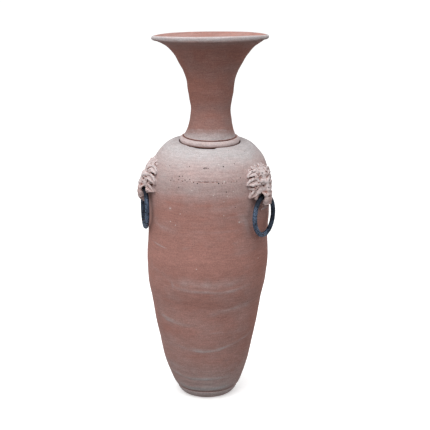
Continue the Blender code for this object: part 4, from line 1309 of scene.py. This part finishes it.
def forged_iron():
    n = Nodes("forged_iron")
    patches = n.noise(160.0, 5.0, 0.65)
    fine = n.noise(270.0, 4.0, 0.78)
    scale = n.dots(520.0, 0.30, 0.10, 0.42, 4.4)
    worn = n.painted("worn")
    lit = n.maths("ADD", n.maths("MULTIPLY", patches, 0.9), n.maths("MULTIPLY", worn, 0.35))
    colour = n.mix(n.ramp(lit, 0.40, 0.90), (0.046, 0.068, 0.106, 1), (0.138, 0.192, 0.290, 1))
    colour = n.mix(n.ramp(fine, 0.505, 0.56, 0.0, 0.96), colour, (0.005, 0.006, 0.009, 1))
    colour = n.mix(n.maths("MULTIPLY", scale, 0.70), colour, (0.005, 0.005, 0.007, 1))
    # painted shade with blackened iron: near black in the hole and on the strand turned from the light
    colour = n.mix(n.maths("MULTIPLY", n.painted("soot"), 0.92), colour, (0.008, 0.010, 0.017, 1))
    blots = n.dots(215.0, 0.34, 0.22, 0.55, 9.3)
    colour = n.mix(n.maths("MULTIPLY", blots, 0.96), colour, (0.004, 0.004, 0.006, 1))
    rust = n.maths("MULTIPLY", n.ramp(n.maths("ADD", n.noise(240.0, 5.0, 0.7), n.maths("MULTIPLY", n.painted("rust"), 0.16)), 0.60, 0.72), 0.85)
    colour = n.mix(rust, colour, (0.062, 0.026, 0.016, 1))
    n.put(n.shader.inputs["Base Color"], colour)
    n.put(n.shader.inputs["Roughness"], n.ramp(patches, 0.3, 0.7, 0.78, 0.60))
    n.shader.inputs["Metallic"].default_value = 0.30
    n.shader.inputs["Specular IOR Level"].default_value = 0.18
    bump = n.new("ShaderNodeBump")
    bump.inputs["Strength"].default_value = 0.8
    bump.inputs["Distance"].default_value = 0.0008
    n.put(bump.inputs["Height"], n.maths("ADD", n.maths("MULTIPLY", patches, 0.6),
                                         n.maths("ADD", n.maths("MULTIPLY", fine, 0.3), n.maths("MULTIPLY", scale, 0.25))))
    n.put(n.shader.inputs["Normal"], bump.outputs[0])
    return n.material


iron = forged_iron()

FINISH = {
    "base_slab": ("vessel", body_clay, "terracotta_body"),
    "lower_section": ("vessel", body_clay, "terracotta_body"),
    "belly_section": ("vessel", body_clay, "terracotta_body"),
    "shoulder_section": ("vessel", body_clay, "terracotta_body"),
    "lion_mask_left": ("vessel", pale_clay, "terracotta_pale"),
    "lion_mask_right": ("vessel", pale_clay, "terracotta_pale"),
    "trumpet_neck": ("neck", neck_clay, "terracotta_neck"),
    "collar_ring": ("neck", pale_clay, "terracotta_pale"),
    "iron_ring_left": ("ring_left", iron, "wrought_iron"),
    "iron_ring_right": ("ring_right", iron, "wrought_iron"),
}
for node, (body, material, slot) in FINISH.items():
    piece = made[node]
    piece.data.materials.append(material)
    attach(piece, body)
    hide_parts(node)

# ---------------------------------------------------------------- floor and light
floor_mesh = bpy.data.meshes.new("floor")
ring = [(24 * math.cos(t), 24 * math.sin(t), 0.0) for t in np.linspace(0, TAU, 96, endpoint=False)]
floor_mesh.from_pydata(ring, [], [tuple(range(96))])
floor = bpy.data.objects.new("floor", floor_mesh)
bpy.context.scene.collection.objects.link(floor)
floor_paint = Nodes("floor_paint")
floor_paint.put(floor_paint.shader.inputs["Base Color"],
                floor_paint.mix(floor_paint.noise(3.0, 4.0), (0.90, 0.90, 0.90, 1), (0.93, 0.93, 0.93, 1)))
floor_paint.shader.inputs["Roughness"].default_value = 0.9
floor_paint.shader.inputs["Emission Color"].default_value = (1.0, 1.0, 1.0, 1)
floor_paint.shader.inputs["Emission Strength"].default_value = 0.42
floor_paint.shader.inputs["Specular IOR Level"].default_value = 0.1
floor_mesh.materials.append(floor_paint.material)
floor.visible_diffuse = False          # keeps the floor's glare off the underside of the rim

world = bpy.data.worlds.new("studio")
bpy.context.scene.world = world
world.use_nodes = True
tree = world.node_tree
back = tree.nodes["Background"]
where = tree.nodes.new("ShaderNodeTexCoord")
split = tree.nodes.new("ShaderNodeSeparateXYZ")
lift = tree.nodes.new("ShaderNodeMapRange")
grade = tree.nodes.new("ShaderNodeValToRGB")
tree.links.new(where.outputs["Generated"], split.inputs[0])
tree.links.new(split.outputs["Z"], lift.inputs[0])
for socket, value in zip(lift.inputs[1:], (-1.0, 1.0, 0.0, 1.0)):
    socket.default_value = value
tree.links.new(lift.outputs[0], grade.inputs[0])
stops = grade.color_ramp.elements
stops[0].position, stops[0].color = 0.0, (0.20, 0.19, 0.185, 1)
stops[1].position, stops[1].color = 1.0, (1.0, 1.0, 1.0, 1)
for at, level in ((0.46, 0.26), (0.52, 0.46), (0.70, 0.66)):
    stop = stops.new(at)
    stop.color = (level, level, level, 1)
tree.links.new(grade.outputs[0], back.inputs["Color"])
back.inputs["Strength"].default_value = 0.86
pale_wall = tree.nodes.new("ShaderNodeBackground")       # the studio's wall, as the camera sees it
pale_wall.inputs["Color"].default_value = (0.98, 0.98, 0.98, 1)
seen = tree.nodes.new("ShaderNodeLightPath")
either = tree.nodes.new("ShaderNodeMixShader")
tree.links.new(seen.outputs["Is Camera Ray"], either.inputs[0])
tree.links.new(back.outputs[0], either.inputs[1])
tree.links.new(pale_wall.outputs[0], either.inputs[2])
tree.links.new(either.outputs[0], tree.nodes["World Output"].inputs["Surface"])


def softbox(name, at, towards, size, power, tint=(1.0, 1.0, 1.0)):
    data = bpy.data.lights.new(name, "AREA")
    data.shape, data.size, data.size_y = "RECTANGLE", size[0], size[1]
    data.energy, data.color = power, tint
    lamp = bpy.data.objects.new(name, data)
    lamp.location = at
    aim = np.array(towards, float) - np.array(at, float)
    from mathutils import Vector
    lamp.rotation_euler = Vector(aim).to_track_quat("-Z", "Y").to_euler()
    bpy.context.scene.collection.objects.link(lamp)
    return lamp


softbox("overhead", (-0.40, -0.9, 3.6), (0.0, 0.0, 0.6), (3.2, 3.2), 93.0)
softbox("front_left", (-2.6, -3.0, 1.9), (0.0, 0.0, 0.40), (2.0, 2.0), 31.0)
softbox("front_right", (2.6, -2.4, 2.3), (0.0, 0.0, 0.80), (2.0, 2.0), 10.0)

bpy.context.scene.view_settings.view_transform = "Standard"
